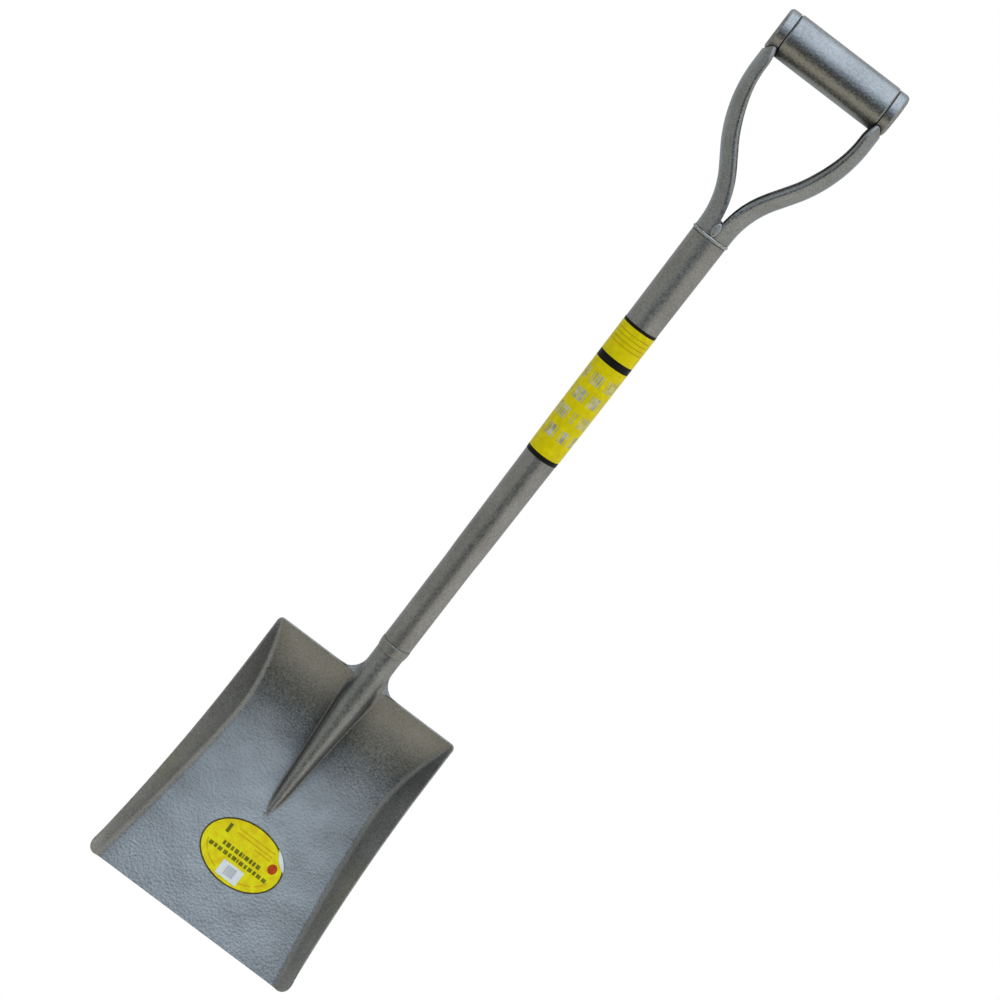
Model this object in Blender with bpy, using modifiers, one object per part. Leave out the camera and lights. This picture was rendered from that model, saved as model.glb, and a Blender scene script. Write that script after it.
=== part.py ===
"""All-steel square-mouth shovel with a D handle.

World frame, in metres: the origin is the middle of the blade's mouth edge, the shaft runs along +Z
towards the handle, the hollow front of the blade faces -Y and +X is to the right seen from the front.
The blade lies at LIFT to the shaft, so the blade and what is fixed to it are modelled upright in
their own frame and then turned about the mouth edge.
"""

import math

import bpy

# ---- Blade, in its own frame: z up from the mouth edge, height towards the front ----
LIFT = math.radians(14.0)
SHEET = 0.0020
BLADE_LENGTH = 0.2975
HEEL_START = 0.1650
HEEL_RISE = 0.0321
HEEL_POWER = 2.9
RIM_HEIGHT_MOUTH = 0.0125
RIM_HEIGHT_HEEL = 0.0335
RIM_HALF_HEEL = 0.1045
RIM_HALF_MOUTH = 0.1205
RIM_FLARE_START = 0.2600
FLOOR_HALF_MOUTH = 0.1085
FLOOR_HALF_WAIST = 0.0837
FLOOR_HALF_HEEL = 0.1025
WAIST_Z = 0.2000
FLOOR_FLARE_POWER = 1.3
SHOULDER_FLARE_POWER = 1.85
CREASE_RADIUS = 0.0050
CREASE_SHARE = 0.35
CORNER_RISE = 0.0150
CORNER_WIDTH = 0.0096
CORNER_FADE = 0.0450
REAR_CORNER = 0.0035
REAR_CORNER_FADE = 0.0115
# Rows of the sheet, closer together at the mouth's corners, the frog's tip and the heel.
BLADE_STATIONS = (
    0.0, 0.006, 0.014, 0.026, 0.045, 0.085, 0.118, 0.128, 0.134, 0.140, 0.148, 0.158,
    0.172, 0.190, 0.208, 0.226, 0.242, 0.254, 0.266, 0.277, 0.286, 0.293, BLADE_LENGTH,
)
FLOOR_STEPS = 4
CREASE_STEPS = 3
FLANGE_STEPS = 5

# ---- Frog: the hollow ridge that runs from the socket down into the floor ----
FROG_TIP_RADIUS = 0.0046
FROG_FULL_Z = 0.2680
FROG_WIDENING_POWER = 1.25
FOOT_RADIUS = 0.0030
FOOT_RADIUS_HEEL = 0.0150
FOOT_POWER = 3.5
FOOT_FLARE_START = 0.2420
FOOT_MARGIN = 0.0030
CREST_STEPS = 6
FOOT_STEPS = 3

# ---- Socket: the rolled neck of the blade, open at the back, that the shaft slides over ----
AXIS_HEIGHT = 0.0394
SHAFT_FOOT = 0.3457
SOCKET_RADIUS = 0.0144
SPIGOT_RADIUS = 0.0134
SPIGOT_LENGTH = 0.0600
NECK_FILLET = 0.0200
NECK_WRAP = math.radians(92.0)
SEAM_WRAP = math.radians(176.0)
WRAP_END = 0.0100
JOGGLE_START = 0.0065
JOGGLE_END = 0.0010
# Rows of the neck's fillet, in degrees of turn; the first clears the sheet's thickness inside the fold.
FILLET_TURNS = (28.0, 49.0, 70.0, 90.0)
WRAP_STEPS = 5

# ---- Shaft tube, along +Z from its foot: distance from the foot and outer radius ----
TAPER_END = 0.2720
SHAFT_PROFILE = (
    (0.0000, 0.01525), (0.1000, 0.01530), (0.1180, 0.01575), (0.2160, 0.01660),
    (TAPER_END, 0.01725), (0.4000, 0.01760), (0.4886, 0.01820),
)
SHAFT_WALL = 0.0015
SHAFT_Y = SHAFT_FOOT * math.sin(LIFT) - AXIS_HEIGHT * math.cos(LIFT)
SHAFT_Z = SHAFT_FOOT * math.cos(LIFT) + AXIS_HEIGHT * math.sin(LIFT)

# ---- D handle: two half-round arms, a tubular grip, two end caps and a tie rod ----
BEAD_HEIGHT = 0.0038
BEAD_RADIUS = 0.0193
BEAD_EDGE = 0.0019
BEAD_STEPS = 6
ARM_BASE = 0.4930
ARM_RADIUS = 0.01835
ARM_SHEET = 0.0016
ARM_HALF_ARC = 0.0275
ARM_BEND_START = 0.4970
ARM_LEAN = math.radians(33.5)
ARM_LOWER_BEND = 0.0880
ARM_UPPER_BEND = 0.1400
ARM_OUTER = 0.0663
ARM_DEPTH_TOP = 0.0128
ARM_OPEN_START = 0.5750
ARM_OPEN_END = 0.6420
ARM_TRIM_START = 0.6430
ARM_TRIM_LENGTH = 0.0190
ARM_TRIM = 0.0065
ARM_TOP_DROP = 0.0020
ARM_COLUMNS = 13
ARM_STEPS = 16
TRIM_STEPS = 4
SHALLOWEST_ARC = 0.3
BISECTIONS = 40
SLEEVE_RADIUS = 0.0163
SLEEVE_LENGTH = 0.0450
SLEEVE_INTO_ARMS = 0.0135
SLEEVE_WALL = 0.0020
GRIP_STATION = 0.6744
GRIP_RADIUS = 0.0225
GRIP_HALF = 0.0552
GRIP_WALL = 0.0016
GRIP_EDGE = 0.0025
GRIP_EDGE_TURN = 60.0
EDGE_STEPS = 4
CAP_RADIUS = 0.0218
CAP_END = 0.0665
CAP_EDGE = 0.0040
CAP_WALL = 0.0018
CAP_DISH = 0.0022
CAP_DISH_RADIUS = 0.0095
CAP_FACE_RADIUS = 0.0150
CAP_FACE_DROP = 0.0004
CAP_INNER_DROP = 0.0011
CAP_SKIRT = 0.0080
ROD_RADIUS = 0.0040
ROD_HEAD_RADIUS = 0.0070
ROD_HEAD_EDGE = 0.0012
CAP_WELD_RADIUS = 0.0013
CAP_WELD_REACH = math.radians(32.0)
CAP_WELD_STEPS = 12
SEAM_BEAD = (0.0030, 0.0018, 0.0062)
SEAM_BEAD_STATION = 0.5015
SEAM_BEAD_RINGS = 8

# ---- Socket weld and rivet ----
WELD_LENGTH = 0.0110
WELD_RADIUS = 0.01575
WELD_TOE = 0.01495
WELD_SHOULDER = 0.0015
WELD_STEPS = 3
RIVET_STATION = 0.0129
RIVET_HEAD_RADIUS = 0.0032
RIVET_SHANK_RADIUS = 0.0020
RIVET_HEAD = 0.0009
RIVET_TAIL_RADIUS = 0.0034
RIVET_TAIL = 0.0010
RIVET_HEAD_FLAT = 0.0024
RIVET_HEAD_EDGE = 0.00036
RIVET_TAIL_FLAT = 0.0027

# ---- Labels ----
SHAFT_LABEL_START = 0.2320
SHAFT_LABEL_END = 0.3870
LABEL_SHEET = 0.0002
LABEL_GAP = 0.0001
OVAL_HALF_WIDTH = 0.0450
OVAL_HALF_HEIGHT = 0.0330
OVAL_X = 0.0050
OVAL_Z = 0.0843
CODE_SIZE = (0.0245, 0.0157)
CODE_X = 0.0055
CODE_Z = 0.0640

GAP = 0.0003
SEGMENTS = 32
SMALL_SEGMENTS = 14
OVAL_SEGMENTS = 64
MERGE = 0.00001
SHARP_ANGLE = math.radians(40.0)

# ---- Cutters: long enough to pass right through what they cut ----
RIVET_CUT = 0.0120
GRIP_CUT = 0.2000
ARM_CUT = 0.0500

# ---- Finishes: colour, roughness, metallic ----
MATERIALS = {
    "hammered_paint": ((0.34, 0.37, 0.40), 0.42, 0.55),
    "painted_weld": ((0.44, 0.47, 0.50), 0.38, 0.55),
    "rivet_steel": ((0.20, 0.20, 0.19), 0.50, 0.80),
    "bare_steel": ((0.45, 0.44, 0.42), 0.45, 0.90),
    "shaft_print": ((0.78, 0.70, 0.02), 0.45, 0.0),
    "oval_print": ((0.80, 0.68, 0.02), 0.40, 0.0),
    "white_print": ((0.80, 0.80, 0.80), 0.50, 0.0),
}

PARTS = "square_mouth_shovel"
CUTTERS = "cutters"


def clear_scene():
    for item in list(bpy.data.objects):
        bpy.data.objects.remove(item, do_unlink=True)


def make_collection(name):
    collection = bpy.data.collections.new(name)
    bpy.context.scene.collection.children.link(collection)
    return collection


def make_material(name, color, roughness, metallic):
    material = bpy.data.materials.new(name)
    material.use_nodes = True
    shader = material.node_tree.nodes["Principled BSDF"]
    shader.inputs["Base Color"].default_value = (*color, 1.0)
    shader.inputs["Roughness"].default_value = roughness
    shader.inputs["Metallic"].default_value = metallic
    return material


def shade(mesh):
    mesh.shade_smooth()
    mesh.set_sharp_from_angle(angle=SHARP_ANGLE)


def add_object(name, mesh, material, location=(0.0, 0.0, 0.0), rotation=(0.0, 0.0, 0.0)):
    """Put a mesh into the parts collection as one named piece."""
    piece = bpy.data.objects.new(name, mesh)
    mesh.materials.clear()
    mesh.materials.append(material)
    piece.location = location
    piece.rotation_euler = rotation
    bpy.data.collections[PARTS].objects.link(piece)
    return piece


def add_cutter(name, radius, depth, location, rotation):
    """A cylinder that is only there to be cut away from its neighbours."""
    bpy.ops.mesh.primitive_cylinder_add(
        vertices=SEGMENTS, radius=radius, depth=depth, location=location, rotation=rotation)
    cutter = bpy.context.object
    cutter.name = name
    for collection in list(cutter.users_collection):
        collection.objects.unlink(cutter)
    bpy.data.collections[CUTTERS].objects.link(cutter)
    cutter.hide_render = True
    cutter.display_type = "WIRE"
    return cutter


def cut(piece, cutter):
    boolean = piece.modifiers.new("cut_" + cutter.name, "BOOLEAN")
    boolean.operation = "DIFFERENCE"
    boolean.solver = "EXACT"
    boolean.object = cutter


def solidify(piece, thickness):
    """Give an open sheet its thickness, behind the face that was drawn."""
    shell = piece.modifiers.new("sheet", "SOLIDIFY")
    shell.thickness = thickness
    shell.offset = -1.0
    shell.use_even_offset = True


def turned(name, profile, closed, material, segments=SEGMENTS, location=(0.0, 0.0, 0.0),
           rotation=(0.0, 0.0, 0.0)):
    """A profile of (radius, height) points, outer side first and from the top down, turned about Z."""
    mesh = bpy.data.meshes.new(name)
    points = [(radius, 0.0, height) for radius, height in profile]
    edges = [(index, index + 1) for index in range(len(points) - 1)]
    if closed:
        edges.append((len(points) - 1, 0))
    mesh.from_pydata(points, edges, [])
    piece = add_object(name, mesh, material, location, rotation)
    screw = piece.modifiers.new("turn", "SCREW")
    screw.steps = segments
    screw.render_steps = segments
    screw.use_merge_vertices = True
    screw.merge_threshold = MERGE
    screw.use_smooth_shade = True
    return piece


def arc(center_r, center_z, radius, start, end, steps):
    """Points of a profile's round stretch; angles are in degrees from +radius towards +height."""
    points = []
    for step in range(steps + 1):
        angle = math.radians(start + (end - start) * step / steps)
        points.append((center_r + radius * math.cos(angle), center_z + radius * math.sin(angle)))
    return points


def grid_faces(rows, flip=False):
    """Points and faces of an open sheet given as rows that may end early on their outer side."""
    points = []
    starts = []
    for row in rows:
        starts.append(len(points))
        points.extend(row)
    faces = []
    for index in range(len(rows) - 1):
        lower, upper = starts[index], starts[index + 1]
        for column in range(min(len(rows[index]), len(rows[index + 1])) - 1):
            face = (lower + column, lower + column + 1, upper + column + 1, upper + column)
            faces.append(face[::-1] if flip else face)
    return points, faces


def clamp(value):
    return min(max(value, 0.0), 1.0)


def smooth_step(value):
    value = clamp(value)
    return value * value * (3.0 - 2.0 * value)


# ---------------------------------------------------------------------------------------- blade

def floor_height(z):
    """Height of the pressed floor's front face: flat, then curving gradually up into the heel."""
    along = clamp((z - HEEL_START) / (BLADE_LENGTH - HEEL_START))
    return SHEET / 2 + HEEL_RISE * along ** HEEL_POWER


def floor_half_width(z):
    """Half width of the floor at the crease, narrowest at the waist."""
    if z < WAIST_Z:
        flare = ((WAIST_Z - z) / WAIST_Z) ** FLOOR_FLARE_POWER
        return FLOOR_HALF_WAIST + (FLOOR_HALF_MOUTH - FLOOR_HALF_WAIST) * flare
    flare = ((z - WAIST_Z) / (BLADE_LENGTH - WAIST_Z)) ** SHOULDER_FLARE_POWER
    return FLOOR_HALF_WAIST + (FLOOR_HALF_HEEL - FLOOR_HALF_WAIST) * flare


def rim_point(z):
    """Half width and height of the side flange's upper edge."""
    flare = (max(RIM_FLARE_START - z, 0.0) / RIM_FLARE_START) ** 2
    height = RIM_HEIGHT_MOUTH + (RIM_HEIGHT_HEEL - RIM_HEIGHT_MOUTH) * z / BLADE_LENGTH
    return RIM_HALF_HEEL + (RIM_HALF_MOUTH - RIM_HALF_HEEL) * flare, height


def axis_height(z):
    return AXIS_HEIGHT + (z - SHAFT_FOOT) * math.tan(LIFT)


def frog_section(z):
    """Half section of the ridge, from its crest out to the floor just past its foot."""
    floor = floor_height(z)
    crest = axis_height(z) + SOCKET_RADIUS / math.cos(LIFT) - floor
    tip_z = SHAFT_FOOT + (SHEET / 2 - AXIS_HEIGHT - SOCKET_RADIUS / math.cos(LIFT)) / math.tan(LIFT)
    grown = clamp((z - tip_z) / (FROG_FULL_Z - tip_z)) ** FROG_WIDENING_POWER
    top = FROG_TIP_RADIUS + (SOCKET_RADIUS - FROG_TIP_RADIUS) * grown
    heel = clamp((z - FOOT_FLARE_START) / (BLADE_LENGTH - FOOT_FLARE_START)) ** FOOT_POWER
    foot = FOOT_RADIUS + (FOOT_RADIUS_HEEL - FOOT_RADIUS) * heel
    center = max(crest, 0.0) - top
    turn = math.acos(clamp((foot - center) / (top + foot)))
    foot_x = (top + foot) * math.sin(turn)
    points = []
    for step in range(CREST_STEPS):
        angle = turn * step / CREST_STEPS
        points.append((top * math.sin(angle), floor + center + top * math.cos(angle)))
    for step in range(FOOT_STEPS + 1):
        angle = turn * (1.0 - step / FOOT_STEPS)
        points.append((foot_x - foot * math.sin(angle), floor + foot - foot * math.cos(angle)))
    end = foot_x + FOOT_MARGIN + (SOCKET_RADIUS + NECK_FILLET - foot_x - FOOT_MARGIN) * heel
    points.append((end, floor))
    if crest <= 0.0:
        flat = FROG_TIP_RADIUS + FOOT_MARGIN
        points = [(flat * index / (len(points) - 1), floor) for index in range(len(points))]
    return points


def side_section(z, start_x):
    """Half section outside the frog: floor, rounded crease and flange up to the rim."""
    floor = floor_height(z)
    corner_x = floor_half_width(z)
    rim_x, rim_height = rim_point(z)
    flange = math.hypot(rim_x - corner_x, rim_height - floor)
    bend = min(CREASE_RADIUS, CREASE_SHARE * flange)
    out_x, out_height = (rim_x - corner_x) / flange, (rim_height - floor) / flange
    points = []
    for step in range(1, FLOOR_STEPS):
        points.append((start_x + (corner_x - bend - start_x) * step / FLOOR_STEPS, floor))
    for step in range(CREASE_STEPS + 1):
        share = step / CREASE_STEPS
        before, after = (1.0 - share) ** 2, share ** 2
        points.append((
            corner_x - bend * before + bend * out_x * after,
            floor + bend * out_height * after))
    for step in range(1, FLANGE_STEPS + 1):
        along = bend + (flange - bend) * (1.0 - (1.0 - step / FLANGE_STEPS) ** 2)
        points.append((corner_x + out_x * along, floor + out_height * along))
    return points


def corner_rise(z, x):
    """How far the mouth's outline climbs at its rounded corners, fading out up the blade."""
    share = clamp(1.0 - (rim_point(z)[0] - x) / CORNER_WIDTH)
    fade = clamp(1.0 - z / CORNER_FADE)
    return CORNER_RISE * (1.0 - math.sqrt(1.0 - share * share)) * fade


def rear_corner_drop(z, x):
    """How far the rear edge falls at its rounded outer corners, fading out down the blade."""
    share = clamp(1.0 - (rim_point(z)[0] - x) / REAR_CORNER)
    fade = clamp(1.0 - (BLADE_LENGTH - z) / REAR_CORNER_FADE)
    return REAR_CORNER * (1.0 - math.sqrt(1.0 - share * share)) * fade


def blade_rows():
    """Rows of the right half of the pressed tray, from the mouth to the rear edge."""
    rows = []
    for z in BLADE_STATIONS:
        section = frog_section(z)
        section += side_section(z, section[-1][0])
        row = []
        for x, height in section:
            row.append((x, -height, z + corner_rise(z, x) - rear_corner_drop(z, x)))
        rows.append(row)
    return rows


def neck_point(station, tilt, radius, angle):
    """A point of the socket: station is measured back from the shaft's foot along its axis."""
    stretch = 1.0 / math.cos(LIFT - tilt)
    z = SHAFT_FOOT - station * math.cos(LIFT)
    height = AXIS_HEIGHT - station * math.sin(LIFT)
    up = radius * stretch * math.cos(angle)
    return (radius * math.sin(angle), -(height + up * math.cos(tilt)), z - up * math.sin(tilt))


def neck_rows(rear_row, columns):
    """Rows of the socket's right half: the flare above the rear edge, then the rolled tube."""
    start = (SHAFT_FOOT - BLADE_LENGTH) / math.cos(LIFT)
    rows = []
    for step, degrees in enumerate(FILLET_TURNS, 1):
        turn = math.radians(degrees)
        station = start - NECK_FILLET * (1.0 - math.cos(turn))
        row = []
        for column in range(columns):
            angle = NECK_WRAP * column / (columns - 1)
            x, y, z = neck_point(station, LIFT * step / len(FILLET_TURNS), SOCKET_RADIUS, angle)
            start_x, start_y, _ = neck_point(start, 0.0, SOCKET_RADIUS, angle)
            flat_x, flat_y, _ = rear_row[column]
            row.append((
                x + (flat_x - start_x) * (1.0 - math.sin(turn)),
                y + (flat_y - start_y) * math.cos(turn),
                z))
        rows.append(row)
    wrap_start = start - NECK_FILLET
    for step in range(1, WRAP_STEPS + 1):
        share = step / WRAP_STEPS
        station = wrap_start + (WRAP_END - wrap_start) * share
        wrap = NECK_WRAP + (SEAM_WRAP - NECK_WRAP) * smooth_step(share)
        rows.append([neck_point(station, LIFT, SOCKET_RADIUS, wrap * column / (columns - 1))
                     for column in range(columns)])
    for station, radius in ((JOGGLE_START, SOCKET_RADIUS), (JOGGLE_END, SPIGOT_RADIUS),
                            (-SPIGOT_LENGTH, SPIGOT_RADIUS)):
        rows.append([neck_point(station, LIFT, radius, SEAM_WRAP * column / (columns - 1))
                     for column in range(columns)])
    return rows


def make_blade(material, rivet_cutter):
    """One pressed sheet: tray, heel, frog and the rolled socket."""
    rows = blade_rows()
    rows += neck_rows(rows[-1], len(frog_section(BLADE_LENGTH)))
    points, faces = grid_faces(rows)
    mesh = bpy.data.meshes.new("blade")
    mesh.from_pydata(points, [], faces)
    shade(mesh)
    blade = add_object("blade", mesh, material, rotation=(-LIFT, 0.0, 0.0))
    mirror = blade.modifiers.new("halves", "MIRROR")
    mirror.merge_threshold = MERGE
    solidify(blade, SHEET)
    cut(blade, rivet_cutter)


# ---------------------------------------------------------------------------------------- shaft

def shaft_radius(station):
    """Outer radius of the shaft tube at a distance from its foot."""
    for (low, low_radius), (high, high_radius) in zip(SHAFT_PROFILE, SHAFT_PROFILE[1:]):
        if station <= high:
            return low_radius + (high_radius - low_radius) * (station - low) / (high - low)
    return SHAFT_PROFILE[-1][1]


def make_shaft(material, rivet_cutter):
    outer = [(radius, station) for station, radius in reversed(SHAFT_PROFILE)]
    inner = [(radius - SHAFT_WALL, station) for station, radius in SHAFT_PROFILE]
    tube = turned("shaft_tube", outer + inner, True, material, location=(0.0, SHAFT_Y, SHAFT_Z))
    cut(tube, rivet_cutter)


def make_shaft_label(material):
    """The printed wrap, which follows the taper of the tube under it."""
    stations = [SHAFT_LABEL_END, TAPER_END, SHAFT_LABEL_START]
    outer = [(shaft_radius(station) + LABEL_GAP + LABEL_SHEET, station) for station in stations]
    inner = [(shaft_radius(station) + LABEL_GAP, station) for station in reversed(stations)]
    turned("shaft_label", outer + inner, True, material, location=(0.0, SHAFT_Y, SHAFT_Z))


def make_socket_weld(material):
    """The fillet weld between the tube's lower edge and the socket."""
    inside = SOCKET_RADIUS + GAP
    profile = [(shaft_radius(0.0), -GAP)]
    for step in range(WELD_STEPS + 1):
        share = step / WELD_STEPS
        drop = WELD_SHOULDER + (WELD_LENGTH - WELD_SHOULDER) * share
        profile.append((WELD_RADIUS - (WELD_RADIUS - WELD_TOE) * share ** 2, -drop))
    profile += [(inside, -WELD_LENGTH), (inside, -GAP)]
    turned("socket_weld", profile, True, material, location=(0.0, SHAFT_Y, SHAFT_Z))


def make_socket_rivet(material):
    """A short rivet through the tube's and the socket's front walls, its head sunk in the tube."""
    seat = SPIGOT_RADIUS + GAP
    bore = math.sqrt((SPIGOT_RADIUS - SHEET) ** 2 - RIVET_TAIL_RADIUS ** 2) - GAP
    profile = [
        (0.0, seat + RIVET_HEAD), (RIVET_HEAD_FLAT, seat + RIVET_HEAD),
        (RIVET_HEAD_RADIUS, seat + RIVET_HEAD - RIVET_HEAD_EDGE), (RIVET_HEAD_RADIUS, seat),
        (RIVET_SHANK_RADIUS, seat), (RIVET_SHANK_RADIUS, bore), (RIVET_TAIL_RADIUS, bore),
        (RIVET_TAIL_FLAT, bore - RIVET_TAIL), (0.0, bore - RIVET_TAIL)]
    turned("socket_rivet", profile, False, material, segments=SMALL_SEGMENTS,
           location=(0.0, SHAFT_Y, SHAFT_Z + RIVET_STATION), rotation=(math.radians(90.0), 0.0, 0.0))


# --------------------------------------------------------------------------------------- handle

def make_yoke_weld(material):
    """The ring of weld that joins the two arms to the top of the shaft tube."""
    low = SHAFT_PROFILE[-1][0] + GAP
    high = low + BEAD_HEIGHT
    inside = SLEEVE_RADIUS + GAP
    middle = (low + high) / 2
    profile = arc(BEAD_RADIUS - BEAD_EDGE, middle, BEAD_EDGE, 90.0, -90.0, BEAD_STEPS)
    profile += [(inside, low), (inside, high)]
    turned("yoke_weld", profile, True, material, location=(0.0, SHAFT_Y, SHAFT_Z))


def make_yoke_sleeve(material):
    """The hidden sleeve that backs the weld and keeps the arms in line with the tube."""
    top = ARM_BASE + SLEEVE_INTO_ARMS
    low = top - SLEEVE_LENGTH
    inside = SLEEVE_RADIUS - SLEEVE_WALL
    profile = [(SLEEVE_RADIUS, top), (SLEEVE_RADIUS, low), (inside, low), (inside, top)]
    turned("yoke_sleeve", profile, True, material, location=(0.0, SHAFT_Y, SHAFT_Z))


def arm_path(station):
    """Half width of the arm's outer ridge at a station above the shaft's foot, and its lean."""
    sine, cosine = math.sin(ARM_LEAN), math.cos(ARM_LEAN)
    bends = (ARM_LOWER_BEND + ARM_UPPER_BEND) * (1.0 - cosine)
    straight = (ARM_OUTER - ARM_RADIUS - bends) / sine
    rise = station - ARM_BEND_START
    if rise <= 0.0:
        return ARM_RADIUS, 0.0
    if rise < ARM_LOWER_BEND * sine:
        lean = math.asin(rise / ARM_LOWER_BEND)
        return ARM_RADIUS + ARM_LOWER_BEND * (1.0 - math.cos(lean)), lean
    rise -= ARM_LOWER_BEND * sine
    low_x = ARM_RADIUS + ARM_LOWER_BEND * (1.0 - cosine)
    if rise < straight * cosine:
        return low_x + rise * math.tan(ARM_LEAN), ARM_LEAN
    rise -= straight * cosine
    if rise < ARM_UPPER_BEND * sine:
        lean = math.asin(sine - rise / ARM_UPPER_BEND)
        return ARM_OUTER - ARM_UPPER_BEND * (1.0 - math.cos(lean)), lean
    return ARM_OUTER, 0.0


def arm_half_angle(depth):
    """Half angle of an arc whose half length is ARM_HALF_ARC and whose depth is given."""
    low, high = SHALLOWEST_ARC, math.pi / 2
    for _ in range(BISECTIONS):
        middle = (low + high) / 2
        if ARM_HALF_ARC * (1.0 - math.cos(middle)) / middle < depth:
            low = middle
        else:
            high = middle
    return (low + high) / 2


def arm_section(station):
    """Radius and half angle of the channel: half a tube below, opened out to the grip above."""
    base_angle = ARM_HALF_ARC / ARM_RADIUS
    base_depth = ARM_RADIUS * (1.0 - math.cos(base_angle))
    opening = smooth_step((station - ARM_OPEN_START) / (ARM_OPEN_END - ARM_OPEN_START))
    half_angle = arm_half_angle(base_depth + (ARM_DEPTH_TOP - base_depth) * opening)
    radius = ARM_HALF_ARC / half_angle
    trim = clamp((station - ARM_TRIM_START) / ARM_TRIM_LENGTH) ** 2
    return radius, (ARM_HALF_ARC - ARM_TRIM * trim) / radius


def arm_rows(side):
    """Rows of one arm's outer face, from the weld up to just below the grip's centre line."""
    stations = [ARM_BASE, ARM_BEND_START]
    for step in range(1, ARM_STEPS + 1):
        stations.append(ARM_BEND_START + (ARM_TRIM_START - ARM_BEND_START) * step / ARM_STEPS)
    for step in range(1, TRIM_STEPS + 1):
        stations.append(ARM_TRIM_START + ARM_TRIM_LENGTH * step / TRIM_STEPS)
    stations.append(GRIP_STATION - ARM_TOP_DROP)
    rows = []
    for station in stations:
        ridge, lean = arm_path(station)
        radius, half_angle = arm_section(station)
        row = []
        for column in range(ARM_COLUMNS):
            angle = half_angle * (2.0 * column / (ARM_COLUMNS - 1) - 1.0)
            sunk = radius * (1.0 - math.cos(angle))
            x = ridge - sunk * math.cos(lean)
            z = station + sunk * math.sin(lean)
            row.append((side * x, radius * math.sin(angle), z))
        rows.append(row)
    return rows


def make_arm(name, side, material, grip_cutter):
    """A half-round channel, from the shaft's top to the underside of the grip's end cap."""
    points, faces = grid_faces(arm_rows(side), flip=side < 0)
    mesh = bpy.data.meshes.new(name)
    mesh.from_pydata(points, [], faces)
    shade(mesh)
    arm = add_object(name, mesh, material, location=(0.0, SHAFT_Y, SHAFT_Z))
    solidify(arm, ARM_SHEET)
    cut(arm, grip_cutter)


def make_seam_weld(name, side, material, arm_cutter):
    """A short bead over the joint of the two arms, just above the ring of weld."""
    bpy.ops.mesh.primitive_uv_sphere_add(segments=SMALL_SEGMENTS, ring_count=SEAM_BEAD_RINGS, radius=1.0)
    bead = bpy.context.object
    mesh = bead.data
    bpy.data.objects.remove(bead)
    for vertex in mesh.vertices:
        vertex.co = [value * size for value, size in zip(vertex.co, SEAM_BEAD)]
    shade(mesh)
    piece = add_object(name, mesh, material,
                       location=(0.0, SHAFT_Y + side * ARM_RADIUS, SHAFT_Z + SEAM_BEAD_STATION))
    cut(piece, arm_cutter)


def make_cap_weld(name, side, material):
    """A bead in the corner between the inside of an arm and the underside of its end cap."""
    station = GRIP_STATION - GRIP_RADIUS
    radius, _ = arm_section(station)
    clear = CAP_WELD_RADIUS + 2 * GAP
    inner = radius - ARM_SHEET - clear
    points = []
    for step in range(CAP_WELD_STEPS + 1):
        angle = CAP_WELD_REACH * (2.0 * step / CAP_WELD_STEPS - 1.0)
        y = inner * math.sin(angle)
        x = ARM_OUTER - radius + inner * math.cos(angle)
        z = GRIP_STATION - math.sqrt((GRIP_RADIUS + clear) ** 2 - y * y)
        points.append((side * x, y, z))
    curve = bpy.data.curves.new(name, "CURVE")
    curve.dimensions = "3D"
    curve.bevel_depth = CAP_WELD_RADIUS
    curve.bevel_resolution = 2
    curve.use_fill_caps = True
    spline = curve.splines.new("POLY")
    spline.points.add(len(points) - 1)
    for target, point in zip(spline.points, points):
        target.co = (*point, 1.0)
    bead = bpy.data.objects.new(name, curve)
    bead.location = (0.0, SHAFT_Y, SHAFT_Z)
    curve.materials.append(material)
    bpy.data.collections[PARTS].objects.link(bead)


def make_grip_tube(material):
    """The hand grip, a plain tube with rolled-in edges, lying across the shaft."""
    inside = GRIP_RADIUS - GRIP_WALL
    center = GRIP_RADIUS - GRIP_EDGE
    profile = [(inside, GRIP_HALF)]
    profile += arc(center, GRIP_HALF - GRIP_EDGE, GRIP_EDGE, GRIP_EDGE_TURN, 0.0, EDGE_STEPS)
    profile += arc(center, GRIP_EDGE - GRIP_HALF, GRIP_EDGE, 0.0, -GRIP_EDGE_TURN, EDGE_STEPS)
    profile.append((inside, -GRIP_HALF))
    turned("grip_tube", profile, True, material,
           location=(0.0, SHAFT_Y, SHAFT_Z + GRIP_STATION), rotation=(0.0, math.radians(90.0), 0.0))


def make_grip_cap(name, side, material):
    """A pressed cup that closes one end of the grip; its skirt sits inside the grip tube."""
    bore = ROD_RADIUS + GAP
    rim = GRIP_HALF + GAP
    skirt = GRIP_RADIUS - GRIP_WALL - GAP
    inner = CAP_END - CAP_WALL
    profile = [(bore, CAP_END - CAP_DISH), (CAP_DISH_RADIUS, CAP_END - CAP_DISH),
               (CAP_FACE_RADIUS, CAP_END - CAP_FACE_DROP)]
    profile += arc(CAP_RADIUS - CAP_EDGE, CAP_END - CAP_EDGE, CAP_EDGE, 90.0, 0.0, EDGE_STEPS)
    profile += [
        (CAP_RADIUS, rim), (skirt, rim), (skirt, rim - CAP_SKIRT),
        (skirt - CAP_WALL, rim - CAP_SKIRT), (skirt - CAP_WALL, inner - CAP_EDGE),
        (CAP_FACE_RADIUS, inner - CAP_INNER_DROP), (CAP_DISH_RADIUS, inner - CAP_DISH),
        (bore, inner - CAP_DISH)]
    turned(name, profile, True, material,
           location=(0.0, SHAFT_Y, SHAFT_Z + GRIP_STATION),
           rotation=(0.0, math.radians(90.0 * side), 0.0))


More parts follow.
